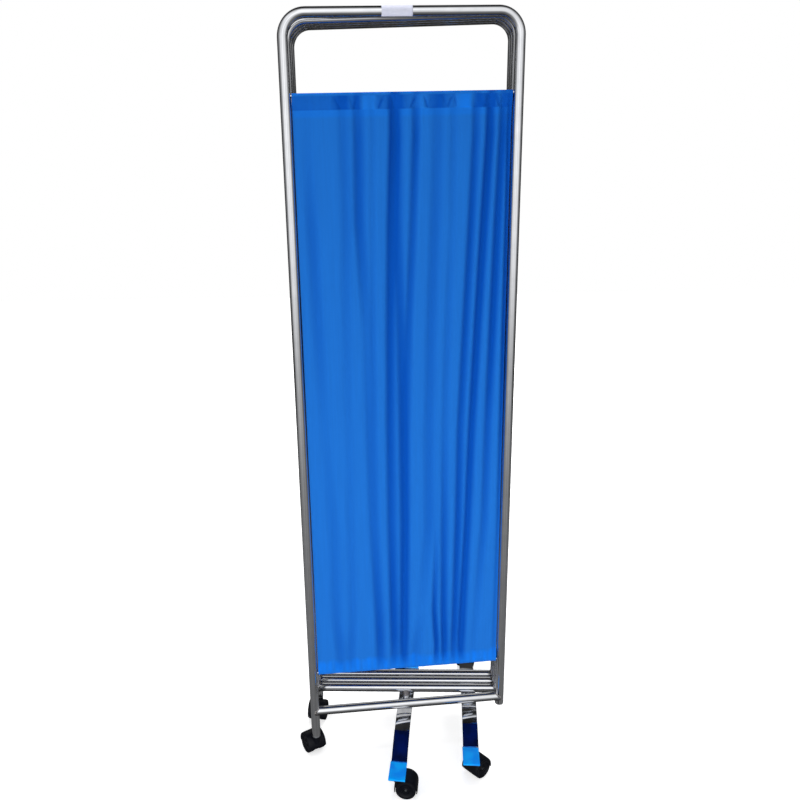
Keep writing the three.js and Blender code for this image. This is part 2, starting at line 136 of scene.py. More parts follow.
@dataclass(frozen=True)
class Finish:
    """A surface finish that is made once as a node material and shared by its pieces."""

    name: str
    colour: str
    roughness: float
    metallic: float = 0.0

    def material(self) -> bpy.types.Material:
        """Return the finish as a material, made on first use.

        Returns:
            The material that all its pieces share.
        """
        found = bpy.data.materials.get(self.name)
        if found is not None:
            return found
        material = bpy.data.materials.new(self.name)
        material.use_nodes = True
        tree = material.node_tree
        shader = tree.nodes["Principled BSDF"]
        shader.inputs["Base Color"].default_value = to_linear(self.colour)
        shader.inputs["Roughness"].default_value = self.roughness
        shader.inputs["Metallic"].default_value = self.metallic
        self.dress(tree, shader)
        return material

    def dress(self, tree: Tree, shader: Node) -> None:
        """Add the finish's own pattern nodes to its shader."""

    def place(self, tree: Tree, scale: Sequence[float] = (1, 1, 1)) -> Socket:
        """Return object coordinates, scaled so that one unit is one pattern repeat.

        Args:
            tree: The node tree that gets the nodes.
            scale: Repeats per metre along X, Y and Z.

        Returns:
            The output socket that gives the scaled place.
        """
        spot = add_node(tree, "ShaderNodeTexCoord")
        mapping = add_node(
            tree, "ShaderNodeMapping", {"Scale": tuple(scale)}, {"Vector": spot.outputs["Object"]}
        )
        return mapping.outputs["Vector"]

    def vary_roughness(self, tree: Tree, shader: Node, pattern: Socket, spread: float) -> None:
        """Let the roughness wander round its own value.

        Args:
            tree: The node tree that gets the nodes.
            shader: The finish's shader.
            pattern: The pattern that it follows, from 0 to 1.
            spread: How far it goes to either side.
        """
        ramp = add_node(
            tree, "ShaderNodeMapRange",
            {"To Min": max(0.02, self.roughness - spread), "To Max": self.roughness + spread},
            {"Value": pattern},
        )
        tree.links.new(ramp.outputs["Result"], shader.inputs["Roughness"])

    def vary_colour(self, tree: Tree, shader: Node, pattern: Socket, other: str) -> Node:
        """Mix the finish's colour with another.

        Args:
            tree: The node tree that gets the nodes.
            shader: The finish's shader.
            pattern: How much of the other colour shows, from 0 to 1.
            other: The other colour as sRGB hex.

        Returns:
            The mixing node.
        """
        mix = add_node(
            tree, "ShaderNodeMix", {6: to_linear(self.colour), 7: to_linear(other)}, {0: pattern},
            data_type="RGBA",
        )
        tree.links.new(mix.outputs[2], shader.inputs["Base Color"])
        return mix

    def emboss(
        self, tree: Tree, shader: Node, pattern: Socket, depth: float, strength: float
    ) -> None:
        """Raise the surface by a pattern.

        Args:
            tree: The node tree that gets the nodes.
            shader: The finish's shader.
            pattern: The pattern, from 0 to 1.
            depth: Its depth in millimetres.
            strength: How strongly it shows, from 0 to 1.
        """
        bump = add_node(
            tree, "ShaderNodeBump", {"Strength": strength, "Distance": depth * MM},
            {"Height": pattern},
        )
        tree.links.new(bump.outputs["Normal"], shader.inputs["Normal"])


@dataclass(frozen=True)
class PolishedStainless(Finish):
    """Welded stainless tube, ground and buffed: a near mirror with faint lines along the tube."""

    grain: Grain = Grain.ALONG_Z
    line_width: float = 0.9  # buffing lines, drawn as coarse as they need to show
    line_length: float = 90.0
    smudge: float = 28.0  # fingermarks and wiping marks
    smudge_colour: str = "#CDCFD3"

    def dress(self, tree: Tree, shader: Node) -> None:
        """Fine lines along the tube vary the gloss, and broad smudges dull it in places.

        Args:
            tree: The finish's node tree.
            shader: Its shader.
        """
        across, along = 1 / (self.line_width * MM), 1 / (self.line_length * MM)
        scale = [along if axis is self.grain else across for axis in Grain]
        lines = add_node(
            tree, "ShaderNodeTexNoise", {"Scale": 1.0, "Detail": 2.0, "Roughness": 0.6},
            {"Vector": self.place(tree, scale)},
        )
        smudge = add_node(
            tree, "ShaderNodeTexNoise",
            {"Scale": 1 / (self.smudge * MM), "Detail": 4.0, "Roughness": 0.55},
            {"Vector": self.place(tree)},
        )
        both = add_node(
            tree, "ShaderNodeMath", links={0: lines.outputs["Fac"], 1: smudge.outputs["Fac"]},
            operation="MULTIPLY",
        )
        self.vary_roughness(tree, shader, both.outputs["Value"], self.roughness * 0.6)
        self.vary_colour(tree, shader, smudge.outputs["Fac"], self.smudge_colour)
        self.emboss(tree, shader, lines.outputs["Fac"], 0.01, 0.35)


@dataclass(frozen=True)
class WeldBead(Finish):
    """Stainless weld, brushed clean: small overlapping ripples with a straw and blue heat tint."""

    ripple: float = 1.6
    tint: str = "#8F8A93"

    def dress(self, tree: Tree, shader: Node) -> None:
        """A fine cell pattern gives the ripples, and soft noise the tint.

        Args:
            tree: The finish's node tree.
            shader: Its shader.
        """
        cells = add_node(
            tree, "ShaderNodeTexVoronoi", {"Scale": 1 / (self.ripple * MM)},
            {"Vector": self.place(tree)},
        )
        tint = add_node(
            tree, "ShaderNodeTexNoise", {"Scale": 1 / (5 * self.ripple * MM), "Detail": 2.0},
            {"Vector": self.place(tree)},
        )
        self.vary_colour(tree, shader, tint.outputs["Fac"], self.tint)
        self.emboss(tree, shader, cells.outputs["Distance"], 0.25, 0.6)


@dataclass(frozen=True)
class PlatedSteel(Finish):
    """Bright zinc-plated steel of pins, stems and rivets: satin, with a faint patchy bloom."""

    patch: float = 3.5
    bloom: str = "#8D9298"

    def dress(self, tree: Tree, shader: Node) -> None:
        """Small soft patches vary the colour and the gloss.

        Args:
            tree: The finish's node tree.
            shader: Its shader.
        """
        patches = add_node(
            tree, "ShaderNodeTexNoise",
            {"Scale": 1 / (self.patch * MM), "Detail": 5.0, "Roughness": 0.6},
            {"Vector": self.place(tree)},
        )
        self.vary_colour(tree, shader, patches.outputs["Fac"], self.bloom)
        self.vary_roughness(tree, shader, patches.outputs["Fac"], 0.08)


@dataclass(frozen=True)
class ProtectiveFilm(Finish):
    """Blue polyethylene film on polished bar: a deep blue mirror where it sticks, its navy a
    painted reflection of dark surroundings, and its own bright blue where it has come loose."""

    wrinkle: float = 14.0
    gloss: float = 0.05
    deeper: str = "#07143C"

    def dress(self, tree: Tree, shader: Node) -> None:
        """Shallow wrinkles run across the strip, and a glossy skin lies on top.

        Args:
            tree: The finish's node tree.
            shader: Its shader.
        """
        shader.inputs["Coat Weight"].default_value = self.gloss
        shader.inputs["Coat Roughness"].default_value = 0.12
        shader.inputs["Specular IOR Level"].default_value = 0.15
        across = 1 / (self.wrinkle * MM)
        creases = add_node(
            tree, "ShaderNodeTexNoise", {"Scale": 1.0, "Detail": 3.0, "Roughness": 0.5},
            {"Vector": self.place(tree, (across / 3, across, across))},
        )
        patches = add_node(
            tree, "ShaderNodeTexNoise", {"Scale": 1 / (2 * self.wrinkle * MM), "Detail": 1.0},
            {"Vector": self.place(tree)},
        )
        spread = add_node(
            tree, "ShaderNodeMapRange", {"From Min": 0.35, "From Max": 0.65},
            {"Value": patches.outputs["Fac"]},
        )
        self.vary_colour(tree, shader, spread.outputs["Result"], self.deeper)
        self.vary_roughness(tree, shader, creases.outputs["Fac"], 0.05)
        self.emboss(tree, shader, creases.outputs["Fac"], 0.12, 0.3)


@dataclass(frozen=True)
class CurtainCloth(Finish):
    """Plain-woven polyester cotton, piece-dyed mid blue: matt, with soft sheen on the folds."""

    thread: float = 1.3  # real threads lie 0.3 mm apart, drawn as coarse as they need to show
    slub: float = 5.0
    slub_colour: str = "#1860B6"
    sheen_colour: str = "#5AA0FF"
    # brighter blue of the doubled hems, also used for painted highlights on the pocket's gathers
    # and the lip over the top rod
    hem_and_highlight_colour: str = "#0E74E6"
    fold_shade_colour: str = "#024CAE"  # painted shade of the folds' valleys, deeper blue for light that bounces between folds

    def dress(self, tree: Tree, shader: Node) -> None:
        """Crossing threads raise the surface, thick ones streak it, the hems are doubled, and
        painted highlights and painted fold shade tint it.

        Args:
            tree: The finish's node tree.
            shader: Its shader.
        """
        shader.inputs["Sheen Weight"].default_value = 0.02
        shader.inputs["Sheen Roughness"].default_value = 0.45
        shader.inputs["Sheen Tint"].default_value = to_linear(self.sheen_colour)
        shader.inputs["Specular IOR Level"].default_value = 0.1
        spot = add_node(tree, "ShaderNodeUVMap", uv_map=Curtain.uv_name)
        waves = [
            add_node(
                tree, "ShaderNodeTexWave",
                {"Scale": 1 / (self.thread * MM * 20), "Distortion": 0.6, "Detail": 1.0},
                {"Vector": spot.outputs["UV"]}, bands_direction=direction,
            )
            for direction in ("X", "Y")
        ]
        weave = add_node(
            tree, "ShaderNodeMath", links={0: waves[0].outputs["Fac"], 1: waves[1].outputs["Fac"]},
            operation="MAXIMUM",
        )
        stretch = add_node(
            tree, "ShaderNodeMapping",
            {"Scale": (1 / (self.slub * MM), 1 / (30 * self.slub * MM), 1.0)},
            {"Vector": spot.outputs["UV"]},
        )
        slubs = add_node(
            tree, "ShaderNodeTexNoise", {"Scale": 1.0, "Detail": 3.0, "Roughness": 0.6},
            {"Vector": stretch.outputs["Vector"]},
        )
        soft = add_node(
            tree, "ShaderNodeMapRange", {"From Min": 0.3, "From Max": 0.7, "To Max": 0.35},
            {"Value": slubs.outputs["Fac"]},
        )
        body = self.vary_colour(tree, shader, soft.outputs["Result"], self.slub_colour)
        coloured = body.outputs[2]
        # the hem attribute mixes in the doubled hems' blue with painted highlights, the other one
        # painted fold shade
        for attribute, colour in (
            (Curtain.hem_and_highlight_name, self.hem_and_highlight_colour),
            (Curtain.fold_shade_name, self.fold_shade_colour),
        ):
            spread = add_node(tree, "ShaderNodeAttribute", attribute_name=attribute)
            mix = add_node(
                tree, "ShaderNodeMix", {7: to_linear(colour)},
                {0: spread.outputs["Fac"], 6: coloured}, data_type="RGBA",
            )
            coloured = mix.outputs[2]
        tree.links.new(coloured, shader.inputs["Base Color"])
        self.emboss(tree, shader, weave.outputs["Value"], 0.12, 0.25)


@dataclass(frozen=True)
class MouldedPlastic(Finish):
    """Moulded nylon or tread rubber: near black, with the fine spark grain of its mould."""

    grit: float = 0.8
    dust: float = 12.0
    paler: str = "#23262E"

    def dress(self, tree: Tree, shader: Node) -> None:
        """A fine grain raises the surface, and dust pales it a little in patches.

        Args:
            tree: The finish's node tree.
            shader: Its shader.
        """
        shader.inputs["Specular IOR Level"].default_value = 0.2
        grain = add_node(
            tree, "ShaderNodeTexNoise", {"Scale": 1 / (self.grit * MM), "Detail": 2.0},
            {"Vector": self.place(tree)},
        )
        dust = add_node(
            tree, "ShaderNodeTexNoise",
            {"Scale": 1 / (self.dust * MM), "Detail": 5.0, "Roughness": 0.65},
            {"Vector": self.place(tree)},
        )
        self.vary_colour(tree, shader, dust.outputs["Fac"], self.paler)
        self.vary_roughness(tree, shader, dust.outputs["Fac"], 0.08)
        self.emboss(tree, shader, grain.outputs["Fac"], 0.06, 0.4)


@dataclass(frozen=True)
class BlankLabel(Finish):
    """Coated paper sticker with nothing printed on it, pale lavender and slightly glossy."""

    scuff: float = 6.0
    scuff_colour: str = "#C2C5D8"

    def dress(self, tree: Tree, shader: Node) -> None:
        """Faint scuffs vary the tone.

        Args:
            tree: The finish's node tree.
            shader: Its shader.
        """
        scuffs = add_node(
            tree, "ShaderNodeTexNoise", {"Scale": 1 / (self.scuff * MM), "Detail": 4.0},
            {"Vector": self.place(tree)},
        )
        self.vary_colour(tree, shader, scuffs.outputs["Fac"], self.scuff_colour)


LEG_TUBE = PolishedStainless("polished_stainless_tube_upright", "#E6E7EA", 0.13, 1.0)
BAR_TUBE = PolishedStainless(
    "polished_stainless_tube_level", "#E6E7EA", 0.12, 1.0, grain=Grain.ALONG_X
)
ROD_STEEL = PolishedStainless(
    "bright_drawn_rod", "#D6D8DC", 0.18, 1.0, grain=Grain.ALONG_X, line_width=0.6
)
STRIP_STEEL = PolishedStainless(
    "polished_stainless_flat_bar", "#E2E4E8", 0.07, 1.0, grain=Grain.ALONG_Y
)
WELD = WeldBead("stainless_weld", "#C4C0B8", 0.3, 1.0)
FITTING_STEEL = PlatedSteel("zinc_plated_steel", "#B5B8BC", 0.34, 1.0)
# the stuck film's navy is a painted reflection of dark surroundings on the strip's slopes
STUCK_FILM_PAINTED_DARK = ProtectiveFilm("blue_film_stuck_painted_dark", "#071A55", 0.16, 0.5, gloss=0.1)
LOOSE_FILM = ProtectiveFilm("blue_film_come_loose", "#04AAFF", 0.35, 0.0, deeper="#038DF4")
CLOTH = CurtainCloth("plain_woven_blue_cloth", "#1B6CC8", 0.85)
HOOD_NYLON = MouldedPlastic("moulded_black_nylon", "#04050A", 0.42, paler="#0C0E17")
TREAD = MouldedPlastic("moulded_black_tread", "#05060B", 0.6, grit=1.2, paler="#0F111A")
PLUG_PLASTIC = MouldedPlastic("moulded_grey_plug", "#2A2B2E", 0.5, paler="#3A3B40")
LABEL = BlankLabel("blank_paper_label", "#D8DAE9", 0.35)


# Mesh helpers


@dataclass(frozen=True)
class Place:
    """Where a sub-assembly stands: a point of the row frame in millimetres and a heading."""

    x: float
    y: float
    heading: float = 0.0

    def matrix(self) -> Matrix:
        """Return the transform from local millimetres to the row frame in millimetres."""
        return Matrix.Translation((self.x, self.y, 0)) @ Matrix.Rotation(self.heading, 4, "Z")


def spun(bm: Mesh, steps: int) -> Mesh:
    """Spin a whole outline about Z into a closed skin.

    Args:
        bm: A mesh of the outline's corners and edges alone, in millimetres.
        steps: Steps round the axis.

    Returns:
        The same mesh.
    """
    outline = bm.verts[:] + bm.edges[:]
    bmesh.ops.spin(
        bm, geom=outline, cent=(0, 0, 0), axis=(0, 0, 1), angle=FULL_TURN, steps=steps,
        use_merge=True,
    )
    bmesh.ops.remove_doubles(bm, verts=bm.verts[:], dist=MERGE)
    bmesh.ops.recalc_face_normals(bm, faces=bm.faces[:])
    return bm


def turned(profile: Pairs, segments: int = 48) -> Mesh:
    """Turn a piece on a lathe.

    Args:
        profile: Corners as radius and height. An outline that touches the axis at both ends
            gives a solid, and one that stays clear of it a ring.
        segments: Steps round the axis.

    Returns:
        The turned piece as one closed mesh.
    """
    bm = bmesh.new()
    verts = [bm.verts.new((radius, 0, height)) for radius, height in profile]
    pairs = list(zip(verts, verts[1:]))
    if profile[0][0] > 0:
        pairs.append((verts[-1], verts[0]))
    for pair in pairs:
        bm.edges.new(pair)
    return spun(bm, segments)


def bar_profile(radius: float, half: float, chamfer: float) -> Pairs:
    """Return the outline of a round bar with chamfered ends, for turning.

    Args:
        radius: The bar's radius.
        half: Half of its length.
        chamfer: The chamfer's width.

    Returns:
        Corners as radius and height.
    """
    upper = [(radius, half - chamfer), (radius - chamfer, half), (0, half)]
    return [(across, -height) for across, height in reversed(upper)] + upper


def soften(bm: Mesh, width: float, segments: int = 2, angle: float = 35.0) -> None:
    """Bevel a mesh's sharp edges.

    Args:
        bm: The mesh.
        width: The bevel's width.
        segments: Its steps.
        angle: Edges over this angle in degrees are sharp.
    """
    limit = math.radians(angle)
    sharp = [e for e in bm.edges if e.is_manifold and e.calc_face_angle(0.0) > limit]
    bmesh.ops.bevel(
        bm, geom=sharp, offset=width, affect="EDGES", segments=segments, profile=0.5,
        material=-1, clamp_overlap=True,
    )


def moved(bm: Mesh, matrix: Matrix) -> Mesh:
    """Transform a whole mesh and return it."""
    bmesh.ops.transform(bm, matrix=matrix, verts=bm.verts[:])
    return bm


def painted(bm: Mesh, index: int) -> Mesh:
    """Give every face of a mesh one material.

    Args:
        bm: The mesh.
        index: The material's index.

    Returns:
        The same mesh.
    """
    for face in bm.faces:
        face.material_index = index
    return bm


def faced(bm: Mesh, direction: Vector) -> Mesh:
    """Turn a sheet's faces so that most of them look one way.

    Args:
        bm: The sheet.
        direction: The way that they shall look.

    Returns:
        The same mesh.
    """
    bmesh.ops.recalc_face_normals(bm, faces=bm.faces[:])
    if sum(face.normal.dot(direction) for face in bm.faces) < 0:
        bmesh.ops.reverse_faces(bm, faces=bm.faces[:])
    return bm


def thickened(bm: Mesh, step: Vector) -> Mesh:
    """Extrude a sheet by a step into a closed plate.

    Args:
        bm: The sheet.
        step: How far and which way its second side lies.

    Returns:
        The same mesh.
    """
    made = bmesh.ops.extrude_face_region(bm, geom=bm.faces[:])["geom"]
    far = [g for g in made if isinstance(g, Vert)]
    bmesh.ops.translate(bm, vec=step, verts=far)
    bmesh.ops.recalc_face_normals(bm, faces=bm.faces[:])
    return bm


def joined(parts: Iterable[Mesh]) -> Mesh:
    """Gather several meshes into one.

    Args:
        parts: The meshes, which are freed.

    Returns:
        A new mesh that holds them all.
    """
    whole = bmesh.new()
    for part in parts:
        carrier = bpy.data.meshes.new("carrier")
        part.to_mesh(carrier)
        part.free()
        whole.from_mesh(carrier)
        bpy.data.meshes.remove(carrier)
    return whole


def finished(
    name: str,
    bm: Mesh,
    place: Matrix,
    body: str,
    nodes: Sequence[str],
    finishes: Sequence[Finish],
    sharp: float = 40.0,
) -> Piece:
    """Turn a mesh in local millimetres into a dressed piece of the row frame.

    Args:
        name: The piece's name.
        bm: Its mesh, which is freed.
        place: The transform from local to row frame, both in millimetres.
        body: The CAD body that carries it.
        nodes: The CAD nodes that it stands for.
        finishes: Its finishes, in the order of their material index.
        sharp: Edges over this angle in degrees stay crisp.

    Returns:
        The new object.
    """
    bmesh.ops.transform(bm, matrix=Matrix.Scale(MM, 4) @ place, verts=bm.verts[:])
    mesh = bpy.data.meshes.new(name)
    bm.to_mesh(mesh)
    bm.free()
    for finish in finishes:
        mesh.materials.append(finish.material())
    mesh.polygons.foreach_set("use_smooth", [True] * len(mesh.polygons))
    mesh.set_sharp_from_angle(angle=math.radians(sharp))
    piece = bpy.data.objects.new(name, mesh)
    bpy.context.scene.collection.objects.link(piece)
    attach(piece, body)
    if nodes:
        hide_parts(*nodes)
    log.info("%s on %s, %d faces", name, body, len(mesh.polygons))
    return piece


# What the frame says


def joint_place(name: str) -> Vector:
    """Return a joint's place in the row frame, in millimetres."""
    joint = next(j for j in frame["joints"] if j["name"] == name)
    return Vector(joint["pos_m"]) / MM


def node_middle(name: str) -> Vector:
    """Return the middle of a CAD node's box, in millimetres."""
    low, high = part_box(name)
    return (low + high) / (2 * MM)


# Panels


@dataclass(frozen=True)
class Knuckle:
    """One hinge leaf of a panel: the leg's side, where the neighbour lies and the tier."""

    side: int
    facing: int
    tier: int


@dataclass
class HingeSizes:
    """Sizes that the knuckles and their pins share."""

    offset: float = 5.0  # from a leg's centre line out to the hinge's axis
    reach_back: float = 15.0  # and from that line back to it
    levels: tuple[float, float] = (420.0, 1500.0)  # lower ends of both hinges
    length: float = 20.0
    gap: float = 0.5
    diameter: float = 8.0
    web_width: float = 4.0
    pin_diameter: float = 4.0
    head_diameter: float = 7.0
    head_height: float = 1.6
    bore_gap: float = 0.3
    edge: float = 0.5


@dataclass
class Panel:
    """One fold of the screen: the bent frame with its lower bar and the two curtain rods."""

    number: int
    leg_caster: bool
    knuckles: tuple[Knuckle, ...]
    width: float = 500.0
    height: float = 1755.0
    tube: float = 22.0
    wall: float = 1.2
    bend: float = 45.0
    leg_end: float = 57.0  # lower end of a leg with a caster
    short_end: float = 108.0  # and of one that hangs free
    plug_depth: float = 9.0
    bar_height: float = 128.0
    rod: float = 8.0
    rod_seat: float = 4.0  # how far a rod reaches into a leg
    top_rod: float = 1591.5
    bottom_rod: float = 241.0
    sides: int = 40
    bend_steps: int = 14
    bead: float = 1.7  # radius of the lower bar's weld
    leaf_bead: float = 0.9  # and of a knuckle's
    leaf_bead_flatness: float = 0.3
    ripples: int = 18  # of a weld bead, round a tube
    ripple_height: float = 0.14  # as a share of the bead
    end_chamfer: float = 0.6
    hinge: HingeSizes = field(default_factory=HingeSizes)

    @property
    def name(self) -> str:
        """The panel's name, which is also its CAD body's."""
        return f"panel_{self.number}"

    @property
    def reach(self) -> float:
        """Distance from the panel's middle to a leg's centre line."""
        return (self.width - self.tube) / 2

    def place(self) -> Place:
        """Find where the panel stands, from its top rod and, for the open one, its hinge.

        Returns:
            The middle between its legs and its heading.
        """
        middle = node_middle(f"{self.name}_top_rod")
        if self.number != 1:
            return Place(middle.x, middle.y)
        hinge = joint_place("hinge_12_fold")
        shut = math.atan2(-self.hinge.reach_back, -(self.reach + self.hinge.offset))
        now = math.atan2(middle.y - hinge.y, middle.x - hinge.x)
        return Place(middle.x, middle.y, now - shut)

    def build(self) -> None:
        """Make the panel's metal pieces."""
        place = self.place().matrix()
        finished(
            f"{self.name}_tube_frame", self.bent_frame(), place, self.name,
            [f"{self.name}_frame"], [LEG_TUBE, BAR_TUBE, PLUG_PLASTIC, WELD],
        )
        finished(
            f"{self.name}_lower_bar", self.lower_bar(), place, self.name,
            [f"{self.name}_crossbar"], [BAR_TUBE, WELD],
        )
        for label, level in (("top", self.top_rod), ("bottom", self.bottom_rod)):
            finished(
                f"{self.name}_{label}_curtain_rod", self.curtain_rod(level), place, self.name,
                [f"{self.name}_{label}_rod"], [ROD_STEEL],
            )

    def bent_frame(self) -> Mesh:
        """Bend one tube into both legs and the top bar, and add plugs and knuckles.

        Returns:
            The frame in the panel's own place.
        """
        bm = bmesh.new()
        radius, top = self.tube / 2, self.height - self.tube / 2
        left_end = self.leg_end if self.leg_caster else self.short_end
        bmesh.ops.create_circle(bm, cap_ends=False, radius=radius, segments=self.sides)
        bmesh.ops.translate(bm, vec=(-self.reach, 0, left_end), verts=bm.verts[:])
        ring = bm.edges[:]
        ring = self.pulled(bm, ring, Vector((0, 0, top - self.bend - left_end)))
        ring = self.bent(bm, ring, Vector((-self.reach + self.bend, 0, top - self.bend)))
        ring = self.pulled(bm, ring, Vector((2 * (self.reach - self.bend), 0, 0)))
        ring = self.bent(bm, ring, Vector((self.reach - self.bend, 0, top - self.bend)))
        self.pulled(bm, ring, Vector((0, 0, self.short_end - top + self.bend)))
        for face in bm.faces:
            face.material_index = int(face.calc_center_median().z > top - self.bend)
        bmesh.ops.recalc_face_normals(bm, faces=bm.faces[:])
        bmesh.ops.solidify(bm, geom=bm.faces[:], thickness=self.wall)
        parts = [bm, self.plug(1)]
        if not self.leg_caster:
            parts.append(self.plug(-1))
        for knuckle in self.knuckles:
            for level in self.hinge.levels:
                parts.extend(self.leaf(knuckle, level))
        return joined(parts)

    def pulled(self, bm: Mesh, ring: list[Edge], step: Vector) -> list[Edge]:
        """Draw a tube on from its open end.

        Args:
            bm: The tube.
            ring: The edges of its open end.
            step: How far and which way it is drawn.

        Returns:
            The edges of the new end.
        """
        made = bmesh.ops.extrude_edge_only(bm, edges=ring)["geom"]
        verts = [g for g in made if isinstance(g, Vert)]
        bmesh.ops.translate(bm, vec=step, verts=verts)
        fresh = set(verts)
        edges = [g for g in made if isinstance(g, Edge)]
        return [e for e in edges if e.verts[0] in fresh and e.verts[1] in fresh]

    def bent(self, bm: Mesh, ring: list[Edge], centre: Vector) -> list[Edge]:
        """Bend a tube on a quarter turn from its open end.

        Args:
            bm: The tube.
            ring: The edges of its open end.
            centre: The middle of the bend.

        Returns:
            The edges of the new end.
        """
        verts = list({v for e in ring for v in e.verts})
        made = bmesh.ops.spin(
            bm, geom=verts + ring, cent=centre, axis=(0, 1, 0), angle=QUARTER_TURN,
            steps=self.bend_steps, use_merge=False,
        )
        return [g for g in made["geom_last"] if isinstance(g, Edge)]

    def plug(self, side: int) -> Mesh:
        """Turn the domed plug that closes a short leg.

        Args:
            side: The leg's side, -1 or 1.

        Returns:
            The plug under its leg.
        """
        radius, low = self.tube / 2, self.short_end
        bore = radius - self.wall
        profile = [
            (0, low - 3.0),
            (0.45 * radius, low - 2.7),
            (0.8 * radius, low - 1.9),
            (radius - 0.2, low - 0.6),
            (radius - 0.2, low - 0.05),
            (bore - 0.05, low + 0.05),
            (bore - 0.05, low + self.plug_depth),
            (0, low + self.plug_depth),
        ]
        bm = painted(turned(profile, self.sides), 2)
        return moved(bm, Matrix.Translation((side * self.reach, 0, 0)))

    def leaf(self, knuckle: Knuckle, level: float) -> list[Mesh]:
        """Make one knuckle barrel, the web that carries it and the weld at the leg.

        Args:
            knuckle: Which knuckle it is.
            level: The height of its hinge's lower end.

        Returns:
            Barrel, web and weld at their leg.
        """
        size = self.hinge
        bottom = level + knuckle.tier * (size.length + size.gap)
        top, bore = bottom + size.length, size.pin_diameter / 2 + size.bore_gap
        outside = size.diameter / 2
        barrel = turned([(bore, bottom), (outside, bottom), (outside, top), (bore, top)], 32)
        soften(barrel, size.edge)
        behind = knuckle.facing * size.reach_back
        moved(barrel, Matrix.Translation((knuckle.side * (self.reach + size.offset), behind, 0)))
        run = math.hypot(size.offset, size.reach_back)
        start, end = self.tube / 2 - self.wall / 2, run - bore
        heading = math.atan2(behind, knuckle.side * size.offset)
        turn = Place(knuckle.side * self.reach, 0, heading).matrix()
        web = bmesh.new()
        middle = Matrix.Translation(((start + end) / 2, 0, bottom + size.length / 2))
        box = Matrix.Diagonal((end - start, size.web_width, size.length, 1))
        bmesh.ops.create_cube(web, size=1.0, matrix=middle @ box)
        soften(web, size.edge)
        bead = self.bead_ring(size.length / 2, self.leaf_bead)
        flat = Matrix.Diagonal((1, self.leaf_bead_flatness, 1, 1))
        spot = Matrix.Translation((self.tube / 2, 0, bottom + size.length / 2))
        upright = Matrix.Rotation(QUARTER_TURN, 4, "Y")
        moved(bead, turn @ spot @ flat @ upright)
        return [painted(barrel, 0), painted(moved(web, turn), 0), painted(bead, 3)]

    def bead_ring(self, radius: float, bead: float) -> Mesh:
        """Spin a small circle about Z into a weld bead with ripples along it.

        Args:
            radius: The radius of its middle line.
            bead: The radius of the bead.

        Returns:
            The bead.
        """
        bm = bmesh.new()
        bmesh.ops.create_circle(bm, cap_ends=False, radius=bead, segments=10)
        bmesh.ops.rotate(bm, matrix=Matrix.Rotation(QUARTER_TURN, 3, "X"), verts=bm.verts[:])
        bmesh.ops.translate(bm, vec=(radius, 0, 0), verts=bm.verts[:])
        spun(bm, steps=72)
        for vert in bm.verts:
            angle = math.atan2(vert.co.y, vert.co.x)
            ring = Vector((math.cos(angle), math.sin(angle), 0)) * radius
            swell = 1 + self.ripple_height * math.sin(self.ripples * angle)
            vert.co = ring + (vert.co - ring) * swell
        return bm

    def saddle(self, across: float) -> float:
        """Return how far a leg's surface stands out at a distance from its centre plane."""
        radius = self.tube / 2
        return math.sqrt(max(radius * radius - across * across, 0.0))

    def lower_bar(self) -> Mesh:
        """Make the lower bar, coped against both legs, with a weld bead at each end.

        Returns:
            The bar in the panel's own place.
        """
        bm = bmesh.new()
        radius = self.tube / 2
        bmesh.ops.create_circle(bm, cap_ends=False, radius=radius, segments=self.sides)
        bmesh.ops.rotate(bm, matrix=Matrix.Rotation(QUARTER_TURN, 3, "Y"), verts=bm.verts[:])
        bmesh.ops.translate(bm, vec=(-self.reach, 0, 0), verts=bm.verts[:])
        near = 2 * radius
        ring = self.pulled(bm, bm.edges[:], Vector((near, 0, 0)))
        ring = self.pulled(bm, ring, Vector((2 * (self.reach - near), 0, 0)))
        self.pulled(bm, ring, Vector((near, 0, 0)))
        for vert in bm.verts:
            if abs(vert.co.x) > self.reach - near / 2:
                vert.co.x -= math.copysign(self.saddle(vert.co.y), vert.co.x)
        bmesh.ops.recalc_face_normals(bm, faces=bm.faces[:])
        bmesh.ops.solidify(bm, geom=bm.faces[:], thickness=self.wall)
        parts = [painted(bm, 0)]
        for side in (-1, 1):
            bead = self.bead_ring(radius, self.bead)
            moved(bead, Matrix.Rotation(QUARTER_TURN, 4, "Y"))
            for vert in bead.verts:
                vert.co.x += side * (self.reach - self.saddle(vert.co.y))
            parts.append(painted(bead, 1))
        whole = joined(parts)
        return moved(whole, Matrix.Translation((0, 0, self.bar_height)))

    def curtain_rod(self, level: float) -> Mesh:
        """Turn a thin rod with chamfered ends that rests in both legs.

        Args:
            level: Its height.

        Returns:
            The rod in the panel's own place.
        """
        half = self.reach - self.tube / 2 + self.rod_seat
        bm = turned(bar_profile(self.rod / 2, half, self.end_chamfer), 28)
        lay = Matrix.Translation((0, 0, level)) @ Matrix.Rotation(QUARTER_TURN, 4, "Y")
        return moved(bm, lay)


@dataclass
class HingePins:
    """The two loose pins that hold a pair of panels together."""

    pair: str
    carrier: str
    sizes: HingeSizes = field(default_factory=HingeSizes)

    def build(self) -> None:
        """Make the lower and the upper pin."""
        for label, level in zip(("lower", "upper"), self.sizes.levels):
            node = f"hinge_{self.pair}_{label}_pin"
            middle = node_middle(node)
            finished(
                f"{node}_headed", self.pin(level), Place(middle.x, middle.y).matrix(),
                self.carrier, [node], [FITTING_STEEL],
            )

    def pin(self, level: float) -> Mesh:
        """Turn a pin with a domed head on top and a chamfered foot.

        Args:
            level: The height of the hinge's lower end.

        Returns:
            The pin on the Z axis.
        """
        size = self.sizes
        radius, head = size.pin_diameter / 2, size.head_diameter / 2
        foot = level - size.bore_gap
        seat = level + 2 * size.length + size.gap + size.bore_gap
        profile = [
            (0, foot),
            (radius - size.edge, foot),
            (radius, foot + size.edge),
            (radius, seat),
            (head - 0.2, seat),
            (head, seat + 0.3),
            (head, seat + 0.6 * size.head_height),
            (0.6 * head, seat + 0.92 * size.head_height),
            (0, seat + size.head_height),
        ]
        return turned(profile, segments=28)


# Curtains


